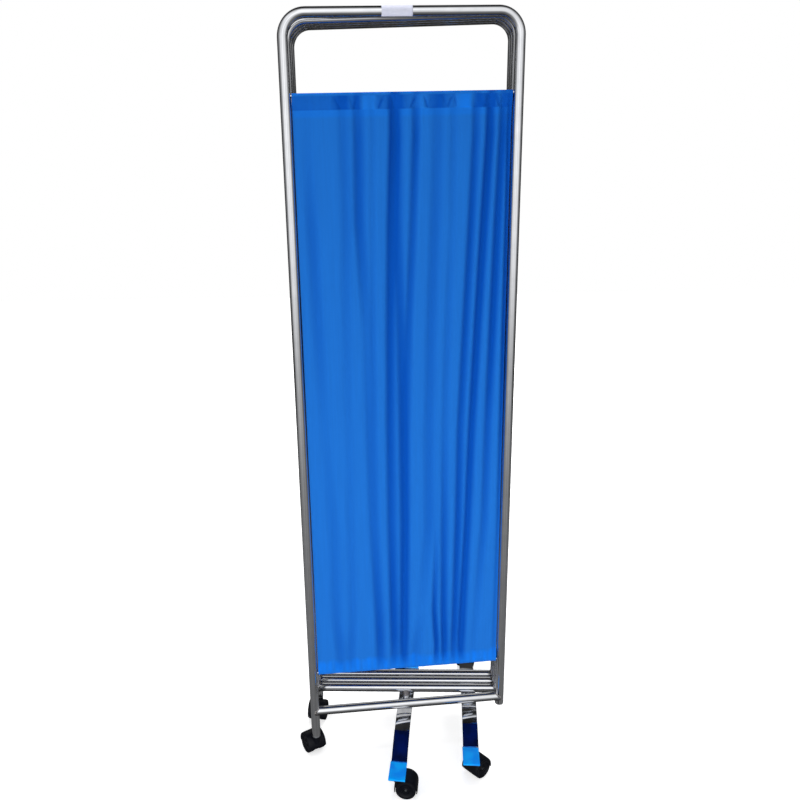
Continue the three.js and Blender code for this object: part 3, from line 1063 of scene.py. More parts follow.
@dataclass(frozen=True)
class Fold:
    """A fold that runs down the cloth.

    Its places are shares of the width and its depths millimetres, one for each station from
    the top to the bottom. A depth below 0 is a valley, away from the viewer.
    """

    place_shares: tuple[float, ...]
    depths: tuple[float, ...]
    flank: float = 9.0
    skew: float = 1.5  # how much longer the right flank is than the left one


@dataclass(frozen=True)
class Pucker:
    """A V-shaped wrinkle of the upper rod pocket: two creases that part from seam to rod."""

    share: float
    spread: float
    depth: float = 2.2
    crease: float = 2.6
    lean: float = 0.0  # above 0 the left crease is the weaker one, below 0 the right one


# the front curtain's pocket wrinkles, from left to right
FRONT_PUCKERS = (
    Pucker(0.215, 14, 1.6, 3.6, -0.8),
    Pucker(0.275, 9, 1.8, 3.0, 0.5),
    Pucker(0.385, 13, 2.0, 3.0, 0.7),
    Pucker(0.455, 5, 2.4, 2.6, -0.3),
    Pucker(0.53, 14, 1.8, 3.2, 0.9),
    Pucker(0.61, 10, 2.2, 3.0, -0.7),
    Pucker(0.7, 12, 1.8, 2.8, 0.6),
    Pucker(0.745, 7, 1.6, 3.4, -0.9),
    Pucker(0.87, 14, 1.6, 3.6, 0.4),
    Pucker(0.94, 8, 1.8, 3.0, -0.6),
)

# the stations of a fold, as shares of the way from the cloth's top to its bottom
STATION_SHARES = (0.06, 0.19, 0.36, 0.535, 0.71, 0.885, 0.955)

# painted shade of the upper pocket, from left to right, by share of the width; below 0 it is a
# painted highlight
FRONT_TONES = (
    (0.0, 0.55), (0.1, 0.45), (0.17, 0.5), (0.205, 0.8), (0.235, 0.95), (0.265, 0.3), (0.29, 0.7),
    (0.32, -0.3), (0.365, -0.25), (0.385, 0.5), (0.41, 0.4), (0.45, 1.0), (0.48, 0.8), (0.52, 0.4),
    (0.56, -0.1), (0.59, -0.1), (0.62, 0.5), (0.67, 0.8), (0.73, 0.1), (0.76, -0.5), (0.795, -0.6),
    (0.82, 0.1), (0.85, 0.7), (0.89, 1.0), (0.92, 0.5), (0.95, 0.1), (0.98, 0.5), (1.0, 0.8),
)

# the front curtain's folds, from left to right
FRONT_FOLDS = (
    Fold((0.06, 0.065, 0.075, 0.09, 0.115, 0.112, 0.128),
         (-0.5, -2.5, -2.2, -0.7, -1.5, -2, -2.8), 15, 1.2),
    Fold((0.225, 0.225, 0.212, 0.21, 0.205, 0.2, 0.187),
         (-2, -2, -1.3, -0.8, -1.2, -1.6, -2.4), 13, 1.2),
    Fold((0.29, 0.285, 0.31, 0.315, 0.322, 0.342, 0.346),
         (-4.2, -4.2, -1.5, -2.5, -2.8, -4.4, -5), 12),
    Fold((0.36, 0.35, 0.343, 0.343, 0.345, 0.35, 0.35), (-1, -1, -1.6, -1, -0.5, 0, 0), 9, 1.0),
    Fold((0.453, 0.436, 0.424, 0.417, 0.417, 0.422, 0.424),
         (-8, -6, -5.4, -5, -4.6, -5.6, -5.4), 11, 1.6),
    Fold((0.477, 0.47, 0.48, 0.485, 0.487, 0.483, 0.481),
         (-2, -3.6, -4.6, -5.4, -5.4, -6.8, -7), 13, 1.1),
    Fold((0.557, 0.542, 0.518, 0.508, 0.505, 0.5, 0.5),
         (-4.8, -4, -4, -2.6, -2, -0.5, 0), 11, 1.0),
    Fold((0.655, 0.645, 0.627, 0.617, 0.617, 0.577, 0.547),
         (-2.2, -2.6, -2.6, -2.4, -2.6, -0.5, -2.2), 15, 1.2),
    Fold((0.678, 0.678, 0.668, 0.668, 0.66, 0.649, 0.662),
         (0, 0, 0, 0, -0.5, -5.2, -6.6), 8, 1.2),
    Fold((0.728, 0.727, 0.708, 0.698, 0.699, 0.7, 0.705),
         (-1.6, -1, -1.8, -1.9, -4, -5.4, -7), 10, 1.3),
    Fold((0.833, 0.819, 0.798, 0.778, 0.773, 0.763, 0.758),
         (-4.4, -5, -5, -4.6, -5.2, -5.2, -5.6), 10, 1.3),
    Fold((0.899, 0.881, 0.859, 0.838, 0.825, 0.806, 0.8),
         (-7.6, -7, -7, -6, -6, -6.6, -7.2), 11, 1.2),
    Fold((0.959, 0.946, 0.934, 0.921, 0.914, 0.882, 0.866),
         (-5.6, -6, -6.2, -4.2, -3.2, -1.2, -1), 11, 1.2),
    Fold((0.993, 0.993, 0.993, 0.993, 0.993, 0.99, 0.99),
         (-6, -6, -6, -4.5, -3, -2, -2), 8, 1.0),
)


def plain_folds(seed: int, count: int = 13) -> tuple[Fold, ...]:
    """Return the folds of a curtain that hangs out of sight.

    Args:
        seed: Start of the random draws, so that each curtain hangs its own way.
        count: How many valleys it has.

    Returns:
        Its folds from left to right.
    """
    draw = random.Random(seed)
    folds = []
    for number in range(count):
        start = (number + 0.5 + draw.uniform(-0.25, 0.25)) / count
        drift = draw.uniform(-0.02, 0.02)
        depth = draw.uniform(-6.5, -2.5)
        shares = tuple(start + drift * station for station in STATION_SHARES)
        depths = tuple(depth * draw.uniform(0.75, 1.15) for _ in STATION_SHARES)
        folds.append(Fold(shares, depths, draw.uniform(8, 12)))
    return tuple(folds)


def plain_puckers(seed: int, count: int = 8) -> tuple[Pucker, ...]:
    """Return the pocket wrinkles of a curtain that hangs out of sight.

    Args:
        seed: Start of the random draws.
        count: How many wrinkles it has.

    Returns:
        Its wrinkles from left to right.
    """
    draw = random.Random(seed)
    return tuple(
        Pucker(
            (number + draw.uniform(0.2, 0.8)) / count, draw.uniform(6, 12), draw.uniform(1.6, 2.6)
        )
        for number in range(count)
    )


@dataclass
class ClothRow:
    """One row of cloth points: its place in side view, how freely it moves, its hem tone and its
    painted shade.
    """

    back: float
    height: float
    fold: float
    gather: float
    # share of the hem's brighter colour; on the arc over the top rod a painted highlight
    hem: float
    # painted shade of the upper pocket's front layer
    shade: float = 0.0
    lift: float = 0.0


@dataclass
class HungRow:
    """One row of cloth as it hangs, with a distance, and a hem tone with painted highlights and a
    painted shade for each of its points.
    """

    height: float
    length: float  # of cloth, from the first row
    backs: np.ndarray
    # the doubled hems' brighter tone, with painted highlights
    hems: np.ndarray
    # painted shade in the folds' valleys and the pocket's creases
    valleys: np.ndarray


@dataclass
class Curtain:
    """A gathered cloth between two rods, with a rod pocket at its top and its bottom."""

    panel: Panel
    folds: tuple[Fold, ...]
    puckers: tuple[Pucker, ...]
    flat: tuple[float, float]
    columns: int = 120
    body_rows: int = 60
    hem_rows: int = 10
    arc_rows: int = 8
    row_ease: float = 1.35  # nearer to 1, the body's rows crowd at both seams
    seed: int = 1
    width: float = 453.0
    top_pocket: float = 31.0
    bottom_pocket: float = 35.0
    slack: float = 0.7  # between a pocket and its rod
    seam_back: float = 0.5  # how far a pocket's layers lie from the rods' plane at the seam
    thickness: float = 0.8
    lie: float = 3.2  # how far the cloth hangs before the rods' plane between two folds
    fullness: float = 1.35
    fade: float = 55.0  # distance from a seam at which a fold has its whole depth
    seam_fullness: float = 0.75  # share of its depth that it has at the seam
    flank_shape: tuple[float, float] = (1.3, 2.5)  # how steep and how square a fold is
    deepest: float = 7.0  # fold depth that takes the whole painted valley shade
    tight: float = 0.35  # share of the gathers that is left on the bottom rod
    top_tight: float = 0.2  # and on the top rod
    seam_shade: float = 0.3  # painted shade that the upper seam adds to its pocket
    gather_lengths: tuple[float, ...] = (47.0, 31.0, 19.0, 12.5)
    upper_hem: tuple[float, float] = (1.2, 0.6)  # depth of gathers, least share of painted valley shade
    lower_hem: tuple[float, float] = (2.0, 0.2)
    patchiness: float = 0.38
    patch_lengths: tuple[float, ...] = (38.0, 23.0, 14.0)
    seam_sway: float = 7.0  # how far puckers take the lower hem's edge up and down
    seam_lengths: tuple[float, ...] = (110.0, 52.0, 29.0)
    seam_blur: float = 16.0
    doubled: float = 18.0  # height of the turned-in edge that shows below the upper pocket
    doubled_tone: float = 0.35
    doubled_blur: float = 6.0
    lower_edge_fade: float = 11.0  # height over which the hem's brighter tone fades out towards the lowest edge
    mirrored: bool = True  # whether polished metal shows it
    # painted shade of the upper pocket across its width; below 0 a painted highlight
    tones: Pairs = ((0.0, 0.5), (1.0, 0.5))
    uv_name = "cloth_mm"
    # attribute for the doubled hems' tone and painted highlights
    hem_and_highlight_name = "hem"
    # attribute for painted fold shade
    fold_shade_name = "valley"

    @property
    def pocket_radius(self) -> float:
        """Radius at which a pocket lies round its rod."""
        return self.panel.rod / 2 + self.slack

    def rows(self) -> list[ClothRow]:
        """Set out the cloth's rows, from the seam behind the top rod to the one behind the other.

        Returns:
            The rows in the order of the cloth.
        """
        radius, top, bottom = self.pocket_radius, self.panel.top_rod, self.panel.bottom_rod
        upper_seam = top + radius - self.top_pocket
        lower_seam = bottom - radius + self.bottom_pocket
        shares = [step / self.hem_rows for step in range(self.hem_rows)]
        angles = [math.pi * step / self.arc_rows for step in range(self.arc_rows + 1)]
        rows = [self.pocket_row(upper_seam, top, share, 1) for share in shares]
        # over the top rod the hem tone is a painted highlight along the lip
        for angle in angles:
            back, height = radius * math.cos(angle), top + radius * math.sin(angle)
            rows.append(ClothRow(back, height, 0, self.top_tight, math.sin(angle), 0, 1))
        # the upper pocket's front layer takes painted shade, more at its seam
        for share in reversed(shares):
            row = self.pocket_row(upper_seam, top, share, -1)
            row.hem, row.shade, row.lift = 0, 1.0 + self.seam_shade * (share == 0), share
            rows.append(row)
        for step in range(1, self.body_rows):
            share = step / self.body_rows
            eased = share - math.sin(FULL_TURN * share) / (self.row_ease * FULL_TURN)
            height = upper_seam + (lower_seam - upper_seam) * eased
            rows.append(ClothRow(-self.seam_back, height, 1, 0, 1))
        rows += [self.pocket_row(lower_seam, bottom, share, -1) for share in shares]
        for angle in angles:
            back, height = -radius * math.cos(angle), bottom - radius * math.sin(angle)
            rows.append(ClothRow(back, height, 0, self.tight, 1))
        rows += [self.pocket_row(lower_seam, bottom, share, 1) for share in reversed(shares)]
        return rows

    def pocket_row(self, seam: float, rod: float, share: float, side: int) -> ClothRow:
        """Set out one row of a pocket's layer.

        Args:
            seam: The seam's height.
            rod: The rod's height.
            share: How far the row is on the way from the seam to the rod.
            side: 1 for the layer behind the rod, -1 for the one before it.

        Returns:
            The row.
        """
        swell = (self.pocket_radius - self.seam_back) * math.sin(QUARTER_TURN * share)
        back = side * (self.seam_back + swell)
        height = seam + (rod - seam) * share
        loose = math.sin(math.pi * min(0.5 + share / 2, 1)) if share > 0.5 else 1.0
        fold = self.seam_fullness * (1 - share) ** 0.7
        return ClothRow(back, height, fold, self.tight + (1 - self.tight) * loose, 1)

    def depth(self, across: np.ndarray, down: float) -> np.ndarray:
        """Return how far the folds stand towards the viewer, in millimetres.

        Args:
            across: Places across the cloth, in millimetres from its left edge.
            down: Share of the way from the top to the bottom.

        Returns:
            One depth for each place.
        """
        total = np.full_like(across, self.lie)
        steep, square = self.flank_shape
        for fold in self.folds:
            centre = np.interp(down, STATION_SHARES, fold.place_shares) * self.width
            deep = np.interp(down, STATION_SHARES, fold.depths)
            flank = np.where(across < centre, fold.flank, fold.flank * fold.skew)
            total += deep * np.exp(-(np.abs(steep * (across - centre) / flank) ** square))
        return total

    def wrinkles(self, across: np.ndarray, lift: float) -> np.ndarray:
        """Return how deep the upper pocket's creases are.

        Args:
            across: Places across the cloth, in millimetres from its left edge.
            lift: Share of the way from the seam to the rod.

        Returns:
            One depth for each place.
        """
        total = np.zeros_like(across)
        for pucker in self.puckers:
            offset = across - pucker.share * self.width
            away = np.abs(offset) - pucker.spread * lift
            depth = pucker.depth * min(1.0, 2.5 * (1 - lift))
            weight = np.clip(1 + pucker.lean * np.sign(offset), 0, 1)
            total += weight * depth * np.exp(-((away / pucker.crease) ** 2))
        return total

    def gathers(self, across: np.ndarray, phase: float) -> np.ndarray:
        """Return the short puckers of a hem.

        Args:
            across: Places across the cloth, in millimetres from its left edge.
            phase: What tells one layer's puckers from another's.

        Returns:
            A height from 0 to about 1 for each place.
        """
        draw = random.Random(self.seed + round(10 * phase))
        longest = self.gather_lengths[0]
        total = np.zeros_like(across)
        for length in self.gather_lengths:
            shift = draw.uniform(0, FULL_TURN)
            wave = np.sin(FULL_TURN * across / length + shift + phase)
            total += wave * (length / longest) ** 0.6
        return np.clip(0.5 + total / 4.2, 0, 1.1) ** 1.5

    def sway(self, across: np.ndarray, phase: float, lengths: Sequence[float]) -> np.ndarray:
        """Mix a few wavelengths into a smooth unevenness.

        Args:
            across: Places across the cloth, in millimetres from its left edge.
            phase: What tells one unevenness from another.
            lengths: The wavelengths in millimetres.

        Returns:
            A value between -1 and 1 for each place.
        """
        waves = [
            np.sin(FULL_TURN * across / length + phase * number + self.seed)
            for number, length in enumerate(lengths, 1)
        ]
        return sum(waves) / len(lengths)

    def hem_and_highlight_tone(
        self, row: ClothRow, across: np.ndarray, high: float, low: float
    ) -> np.ndarray:
        """Return how far a row takes the doubled cloth's brighter tone, place by place; over the
        top rod it is a painted highlight.

        Args:
            row: The row of cloth.
            across: Places across the cloth, in millimetres from its left edge.
            high: The cloth's highest point.
            low: Its lowest point.

        Returns:
            Shares of the hem's colour. The lower hem's upper edge is uneven, as puckers take it
            up and down.
        """
        blotches = self.sway(across, 0.6, self.patch_lengths)
        patchy = 1 - self.patchiness + self.patchiness * blotches
        # over the top rod this tone is a painted highlight
        if row.fold != 1 and (row.height > (high + low) / 2 or row.back > 0):
            return row.hem * patchy
        seam = low + self.bottom_pocket
        uneven = self.seam_sway * self.sway(across, 2.4, self.seam_lengths)
        lower = np.clip(0.5 - (row.height - seam - uneven) / self.seam_blur, 0, 1)
        lower = lower * lower * (3 - 2 * lower)
        below = high - self.top_pocket - row.height
        band = self.doubled_tone * np.clip((self.doubled - below) / self.doubled_blur, 0, 1)
        edge = np.clip((row.height - low) / self.lower_edge_fade, 0, 1)
        return row.hem * np.maximum(lower * patchy * edge, band)

    def hung_rows(self) -> list[HungRow]:
        """Lay the rows in their folds, gathers and wrinkles, and find their hem tones, painted
        highlights and painted shade.

        Returns:
            The rows as they hang.
        """
        rows = self.rows()
        high, low = max(row.height for row in rows), min(row.height for row in rows)
        across = np.linspace(0, self.width, self.columns + 1)
        tone = np.interp(across / self.width, *zip(*self.tones))
        ripple = {side: self.gathers(across, 1.7 * side) for side in (-1, 1)}
        hung, length, before = [], 0.0, rows[0]
        for row in rows:
            length += math.hypot(row.back - before.back, row.height - before.height)
            before = row
            down = (high - row.height) / (high - low)
            gather_depth, least = self.upper_hem if down < 0.5 else self.lower_hem
            fullness = row.fold
            if row.fold == 1:
                seams = (high - self.top_pocket, low + self.bottom_pocket)
                grown = min(min(abs(row.height - seam) for seam in seams) / self.fade, 1.0)
                fullness = self.seam_fullness + (1 - self.seam_fullness) * grown
            side = 1 if row.back > 0 else -1
            bulge = gather_depth * row.gather * ripple[side]
            folded = self.lie + self.fullness * (self.depth(across, down) - self.lie)
            wrinkled = self.wrinkles(across, row.lift) if row.lift else 0.0 * across
            # the pocket's tone is painted shade, and below 0 a painted highlight in the hem's
            # colour
            shade = row.shade * tone
            # painted shade: the deeper a fold's valley, the darker, and the pocket's creases
            # darker too
            dark = (self.lie - folded) * max(fullness, least) / self.deepest
            hung.append(HungRow(
                row.height,
                length,
                row.back + side * bulge - fullness * folded + wrinkled,
                np.maximum(self.hem_and_highlight_tone(row, across, high, low), np.clip(-shade, 0, 1)),
                np.clip(dark + shade + 0.25 * wrinkled, 0, 1),
            ))
        return hung

    def hang(self, bm: Mesh, rows: list[HungRow]) -> None:
        """Move a flat grid's points to their hung places, with cloth lengths kept as UVs.

        Args:
            bm: A grid of the size 1, whose first row is at its top.
            rows: The rows as they hang.
        """
        uv_layer = bm.loops.layers.uv.new(self.uv_name)
        bm.verts.layers.float.new(self.hem_and_highlight_name)
        bm.verts.layers.float.new(self.fold_shade_name)
        hem_and_highlight_layer = bm.verts.layers.float[self.hem_and_highlight_name]
        fold_shade_layer = bm.verts.layers.float[self.fold_shade_name]
        last, step = len(rows) - 1, self.width / self.columns
        for vert in bm.verts:
            column = round((vert.co.x + 0.5) * self.columns)
            row = rows[round((0.5 - vert.co.y) * last)]
            vert[hem_and_highlight_layer] = row.hems[column]
            vert[fold_shade_layer] = row.valleys[column]
            for loop in vert.link_loops:
                loop[uv_layer].uv = (column * step * MM, row.length * MM)
            vert.co = (column * step - self.width / 2, row.backs[column], row.height)

    def build(self) -> None:
        rows = self.hung_rows()
        bm = bmesh.new()
        bmesh.ops.create_grid(
            bm, x_segments=self.columns, y_segments=len(rows) - 1, size=0.5, calc_uvs=False
        )
        self.hang(bm, rows)
        name = self.panel.name
        piece = finished(
            f"{name}_gathered_curtain", bm, self.panel.place().matrix(), name,
            [f"{name}_curtain"], [CLOTH], sharp=180.0,
        )
        thick = piece.modifiers.new("cloth thickness", "SOLIDIFY")
        thick.thickness = self.thickness * MM
        thick.offset = 0.0
        piece.visible_glossy = self.mirrored


# Feet


@dataclass
class StripFoot:
    """An arched strip under the stack, with its post, its rivet and its protective film."""

    panel: Panel
    width: float = 38.0
    thickness: float = 5.0
    crown_top: float = 100.0
    crown_length: float = 50.0
    pad_top: float = 62.0
    pad_length: float = 60.0
    pad_reach: float = 217.0
    post: float = 19.0
    post_edge: float = 0.6
    flare: float = 2.6  # how far the post's weld stands out at the bar
    rivet: float = 8.0
    rivet_head: float = 14.0
    rivet_height: float = 3.0
    weld: float = 12.0
    weld_start: float = 3.5  # below the weld's upper edge
    saddle_gap: float = 0.3
    edge: float = 0.7
    gap: float = 0.3
    film_start: float = 108.0  # distance from the strip's middle
    film_gap: float = 0.12
    film_fold: float = 4.0  # how far it hangs down over the strip's end
    film_wrap: float = 1.6  # and over its long edges
    film_lap: float = 1.1  # its width over the strip's, where the rest laps over an edge
    film_flap: float = 1.0
    film_skew: float = 0.7
    film_steps: tuple[int, int] = (22, 72)
    film_lift: float = 0.4  # how far its loose end stands off
    film_wave: float = 0.12
    film_wavelength: float = 3.1
    steps: int = 96

    @property
    def name(self) -> str:
        """The foot's name."""
        return f"foot_{self.panel.number}"

    @property
    def pad_start(self) -> float:
        """Distance from the strip's middle to the near end of a pad."""
        return self.pad_reach - self.pad_length / 2

    @property
    def tip(self) -> float:
        """Distance from the strip's middle to its end."""
        return self.pad_reach + self.pad_length / 2

    def ends(self) -> tuple[Vector, Vector]:
        """Return the swivel axes at the front and at the rear."""
        return tuple(joint_place(f"{self.name}_{end}_swivel_turn") for end in ("front", "rear"))

    def heading(self) -> float:
        """Return the strip's turn from the row frame's Y axis."""
        front, rear = self.ends()
        return math.atan2(rear.y - front.y, rear.x - front.x) - QUARTER_TURN

    def build(self) -> None:
        """Make the strip, its film and the post."""
        front, rear = self.ends()
        middle = (front + rear) / 2
        strip = Place(middle.x, middle.y, self.heading()).matrix()
        body = self.panel.name
        finished(
            f"{self.name}_arched_strip", self.strip(), strip, body,
            [f"{self.name}_bow"], [STRIP_STEEL],
        )
        for label, end in (("front", -1), ("rear", 1)):
            finished(
                f"{self.name}_{label}_film", self.film(end), strip, body, [],
                [STUCK_FILM_PAINTED_DARK, LOOSE_FILM], sharp=180.0,
            )
        post = node_middle(f"{self.name}_post")
        finished(
            f"{self.name}_riveted_post", self.riveted_post(),
            Place(post.x, post.y, self.heading()).matrix(), body,
            [f"{self.name}_post"], [LEG_TUBE, WELD, FITTING_STEEL],
        )

    def arch(self, distance: float) -> float:
        """Return the height of the strip's top face.

        Args:
            distance: How far from its middle, to either side.

        Returns:
            The height over the floor.
        """
        crown_end = self.crown_length / 2
        share = min(max((abs(distance) - crown_end) / (self.pad_start - crown_end), 0), 1)
        return self.crown_top - (self.crown_top - self.pad_top) * share * share

    def strip(self) -> Mesh:
        """Bend a flat bar to the arch and break its edges.

        Returns:
            The strip in the foot's own place.
        """
        bm = bmesh.new()
        bmesh.ops.create_grid(bm, x_segments=2, y_segments=self.steps, size=1.0)
        for vert in bm.verts:
            along = vert.co.y * self.tip
            vert.co = (vert.co.x * self.width / 2, along, self.arch(along))
        bmesh.ops.recalc_face_normals(bm, faces=bm.faces[:])
        thickened(bm, Vector((0, 0, -self.thickness)))
        soften(bm, self.edge, segments=3, angle=60)
        return bm

    def film(self, end: int) -> Mesh:
        """Lay a thin skin on one end of the strip, lapped over its edges and loose at the tip.

        Args:
            end: -1 for the front end, 1 for the rear end.

        Returns:
            The film in the foot's own place.
        """
        bm = bmesh.new()
        wide, long = self.film_steps
        bmesh.ops.create_grid(bm, x_segments=wide, y_segments=long, size=1.0)
        tip = self.tip + self.film_gap
        whole = tip + self.film_fold - self.film_start
        for vert in bm.verts:
            share, side = (vert.co.y + 1) / 2, vert.co.x
            along = self.film_start + whole * share
            over = max(0.0, along - tip)
            along = min(along, tip)
            loose = max(0.0, (along - self.pad_start) / self.pad_length)
            lapped = max(0.0, abs(side) * self.film_lap - 1) / (self.film_lap - 1)
            half = self.width / 2 + self.film_gap + self.film_flap * (loose > 0)
            inside = max(-1.0, min(1.0, side * self.film_lap))
            across = inside * half - self.film_skew * (loose > 0)
            wave = self.film_wave * math.sin(along / self.film_wavelength)
            lift = self.film_gap + self.film_lift * loose ** 2 + wave * loose
            drop = self.film_wrap * lapped * (over == 0) + over
            vert.co = (across, end * along, self.arch(along) + lift - drop)
        faced(bm, Vector((0, 0, 1)))
        # the slopes take the film's painted dark copy, the pads its own bright blue
        for face in bm.faces:
            face.material_index = int(abs(face.calc_center_median().y) > self.pad_start)
        bmesh.ops.solidify(bm, geom=bm.faces[:], thickness=-self.film_gap * SKIN_SHARE)
        return bm

    def riveted_post(self) -> Mesh:
        """Turn the post, flare its weld against the bar and add its rivet.

        Returns:
            The post in its own place.
        """
        radius, bottom = self.post / 2, self.crown_top + self.gap
        weld, top = bottom + self.weld, bottom + self.weld + self.saddle_gap
        profile = [
            (0, bottom),
            (radius - self.post_edge, bottom),
            (radius, bottom + self.post_edge),
            (radius, weld - 2 * self.flare),
            (radius + 0.4, weld - 3.0),
            (radius + 0.6 * self.flare, weld - 0.8),
            (radius + self.flare, weld),
            (radius, top),
            (0, top),
        ]
        post = turned(profile, segments=48)
        back = Matrix.Rotation(self.heading(), 3, "Z")
        start = weld - self.weld_start
        for vert in post.verts:
            if vert.co.z > start:
                hollow = self.panel.saddle((back @ vert.co).y)
                under = self.panel.bar_height - hollow + self.saddle_gap
                vert.co.z = start + (under - start) * (vert.co.z - start) / (top - start)
        for face in post.faces:
            centre = face.calc_center_median()
            outside = math.hypot(centre.x, centre.y) > radius - 0.5
            face.material_index = int(centre.z > start and outside)
        return joined([post, painted(self.headed_rivet(bottom + 0.2), 2)])

    def headed_rivet(self, top: float) -> Mesh:
        """Turn the rivet with its domed head under the strip.

        Args:
            top: The height of its upper end.

        Returns:
            The rivet on the Z axis.
        """
        under = self.crown_top - self.thickness - self.gap
        head = self.rivet_head / 2
        profile = [
            (0, under - self.rivet_height),
            (0.5 * head, under - 0.93 * self.rivet_height),
            (0.85 * head, under - 0.6 * self.rivet_height),
            (head, under - 0.2),
            (head, under),
            (self.rivet / 2, under),
            (self.rivet / 2, top),
            (0, top),
        ]
        return turned(profile, segments=32)


# Casters


@dataclass
class TwinCaster:
    """A hooded twin-wheel caster: stem, hood, axle and two wheels."""

    name: str
    carrier: str
    in_leg: bool
    wheel: float = 49.04
    wheel_width: float = 15.5
    web: float = 15.0
    side_gap: float = 0.5
    trail: float = 20.0
    axle_height: float = 24.52
    hood_gap: float = 1.3
    hood_wall: float = 2.7
    cover_wall: float = 2.3
    cover_edge: float = 0.5
    wall_edge: float = 0.8
    arch_steps: int = 40
    lip: float = 12.0  # degrees that the cover reaches below the axle
    boss: float = 20.0
    boss_height: float = 20.0
    boss_edge: float = 1.2
    wall_inset: float = 1.2  # how far the wall between the wheels stays inside the cover
    hub: float = 7.0  # radius of that wall below the axle
    stem: float = 8.0
    stem_foot: float = 30.0
    stem_edge: float = 0.6
    flange: float = 18.0
    flange_height: float = 3.7
    flange_edge: float = 0.5
    seat: float = 57.0
    strip: float = 5.0
    leg_tube: float = 22.0
    leg_wall: float = 1.2
    spigot: float = 28.0
    spigot_edge: float = 0.8
    gap: float = 0.3
    swivel_gap: float = 0.5
    axle: float = 6.0
    axle_inset: float = 3.0
    axle_edge: float = 0.7
    tread_depth: float = 5.4
    tread_bite: float = 0.1  # how far the tread reaches into the core
    dish: float = 3.9  # depth of a wheel's dished face
    ring: tuple[float, float] = (9.6, 10.6)
    ring_height: float = 0.8
    hub_face: float = 6.8
    hub_depth: float = 1.6
    wheel_edge: float = 0.6

    @property
    def half_width(self) -> float:
        """Half of the width over both wheels."""
        return self.web / 2 + self.side_gap + self.wheel_width

    def build(self) -> None:
        """Make the caster's five pieces at rest."""
        pivot = joint_place(f"{self.name}_swivel_turn")
        wheels = joint_place(f"{self.name}_wheels_roll")
        heading = math.atan2(wheels.y - pivot.y, wheels.x - pivot.x)
        place = Place(pivot.x, pivot.y, heading).matrix()
        node = f"caster_{self.name}"
        finished(
            f"{node}_plated_stem", self.stem_pin(), place, self.carrier,
            [f"{node}_stem"], [FITTING_STEEL],
        )
        finished(
            f"{node}_moulded_hood", self.hood(), place, f"{self.name}_swivel",
            [f"{node}_hood"], [HOOD_NYLON],
        )
        rolling = f"{self.name}_wheels"
        finished(
            f"{node}_axle_pin", self.axle_pin(), place, rolling,
            [f"{node}_axle"], [FITTING_STEEL],
        )
        for label, side in (("a", -1), ("b", 1)):
            finished(
                f"{node}_dished_wheel_{label}", self.dished_wheel(side), place, rolling,
                [f"{node}_wheel_{label}"], [TREAD, HOOD_NYLON],
            )

    def at_axle(self, side: int = 1) -> Matrix:
        """Return the transform that lays a piece turned on Z along the axle."""
        spot = Matrix.Translation((self.trail, 0, self.axle_height))
        return spot @ Matrix.Rotation(-side * QUARTER_TURN, 4, "X")

    def stem_pin(self) -> Mesh:
        """Turn the stem with its flange and, in a leg, the spigot that fills the tube.

        Returns:
            The stem in the caster's own place.
        """
        radius = self.stem / 2
        top = self.seat - self.gap
        under = top - self.flange_height
        flange = self.leg_tube / 2 if self.in_leg else self.flange / 2
        upper = self.leg_tube / 2 - self.leg_wall - self.gap if self.in_leg else radius
        end = self.seat + self.spigot if self.in_leg else self.seat + self.strip
        profile = [
            (0, self.stem_foot),
            (radius - self.stem_edge, self.stem_foot),
            (radius, self.stem_foot + self.stem_edge),
            (radius, under),
            (flange - self.flange_edge, under),
            (flange, under + self.flange_edge),
            (flange, top - self.flange_edge),
            (flange - self.flange_edge, top),
            (upper, top),
            (upper, end - self.spigot_edge),
            (upper - self.spigot_edge, end),
            (0, end),
        ]
        return turned(profile, segments=40)

    @property
    def cover_radius(self) -> float:
        """Outer radius of the hood's arched cover."""
        return self.wheel / 2 + self.hood_gap + self.hood_wall

    def round_axle(self, radius: float, angle: float, across: float) -> Vector:
        """Return the point at a radius and an angle round the axle and a distance along it."""
        along, up = radius * math.cos(angle), radius * math.sin(angle)
        return Vector((self.trail + along, across, self.axle_height + up))

    def hood(self) -> Mesh:
        """Join the arched cover, the wall between the wheels and the boss for the stem."""
        return joined([self.arched_cover(), self.middle_wall(), self.stem_boss()])

    def arched_cover(self) -> Mesh:
        """Bend the cover over both wheels, with its side edges rounded down.

        Returns:
            The cover in the caster's own place.
        """
        bm = bmesh.new()
        bmesh.ops.create_grid(bm, x_segments=self.arch_steps, y_segments=10, size=1.0)
        for vert in bm.verts:
            angle = QUARTER_TURN - vert.co.x * (QUARTER_TURN + math.radians(self.lip))
            radius = self.cover_radius - abs(vert.co.y) ** 6
            vert.co = self.round_axle(radius, angle, vert.co.y * self.half_width)
        faced(bm, Vector((0, 0, 1)))
        bmesh.ops.solidify(bm, geom=bm.faces[:], thickness=self.cover_wall)
        soften(bm, self.cover_edge, segments=2, angle=60)
        return bm

    def middle_wall(self) -> Mesh:
        """Cut the wall between the wheels to the cover above and to the hub below.

        Returns:
            The wall in the caster's own place.
        """
        bm = bmesh.new()
        lip = math.radians(self.lip)
        span, radius = math.pi + 2 * lip, self.cover_radius - self.wall_inset
        steps = self.arch_steps
        rim = [(radius, span * step / steps - lip) for step in range(steps + 1)]
        rim += [(self.hub, math.radians(degrees)) for degrees in (215, 240, 270, 300, 325)]
        bm.faces.new([bm.verts.new(self.round_axle(*spot, -self.web / 2)) for spot in rim])
        thickened(bm, Vector((0, self.web, 0)))
        soften(bm, self.wall_edge, segments=2, angle=50)
        return bm

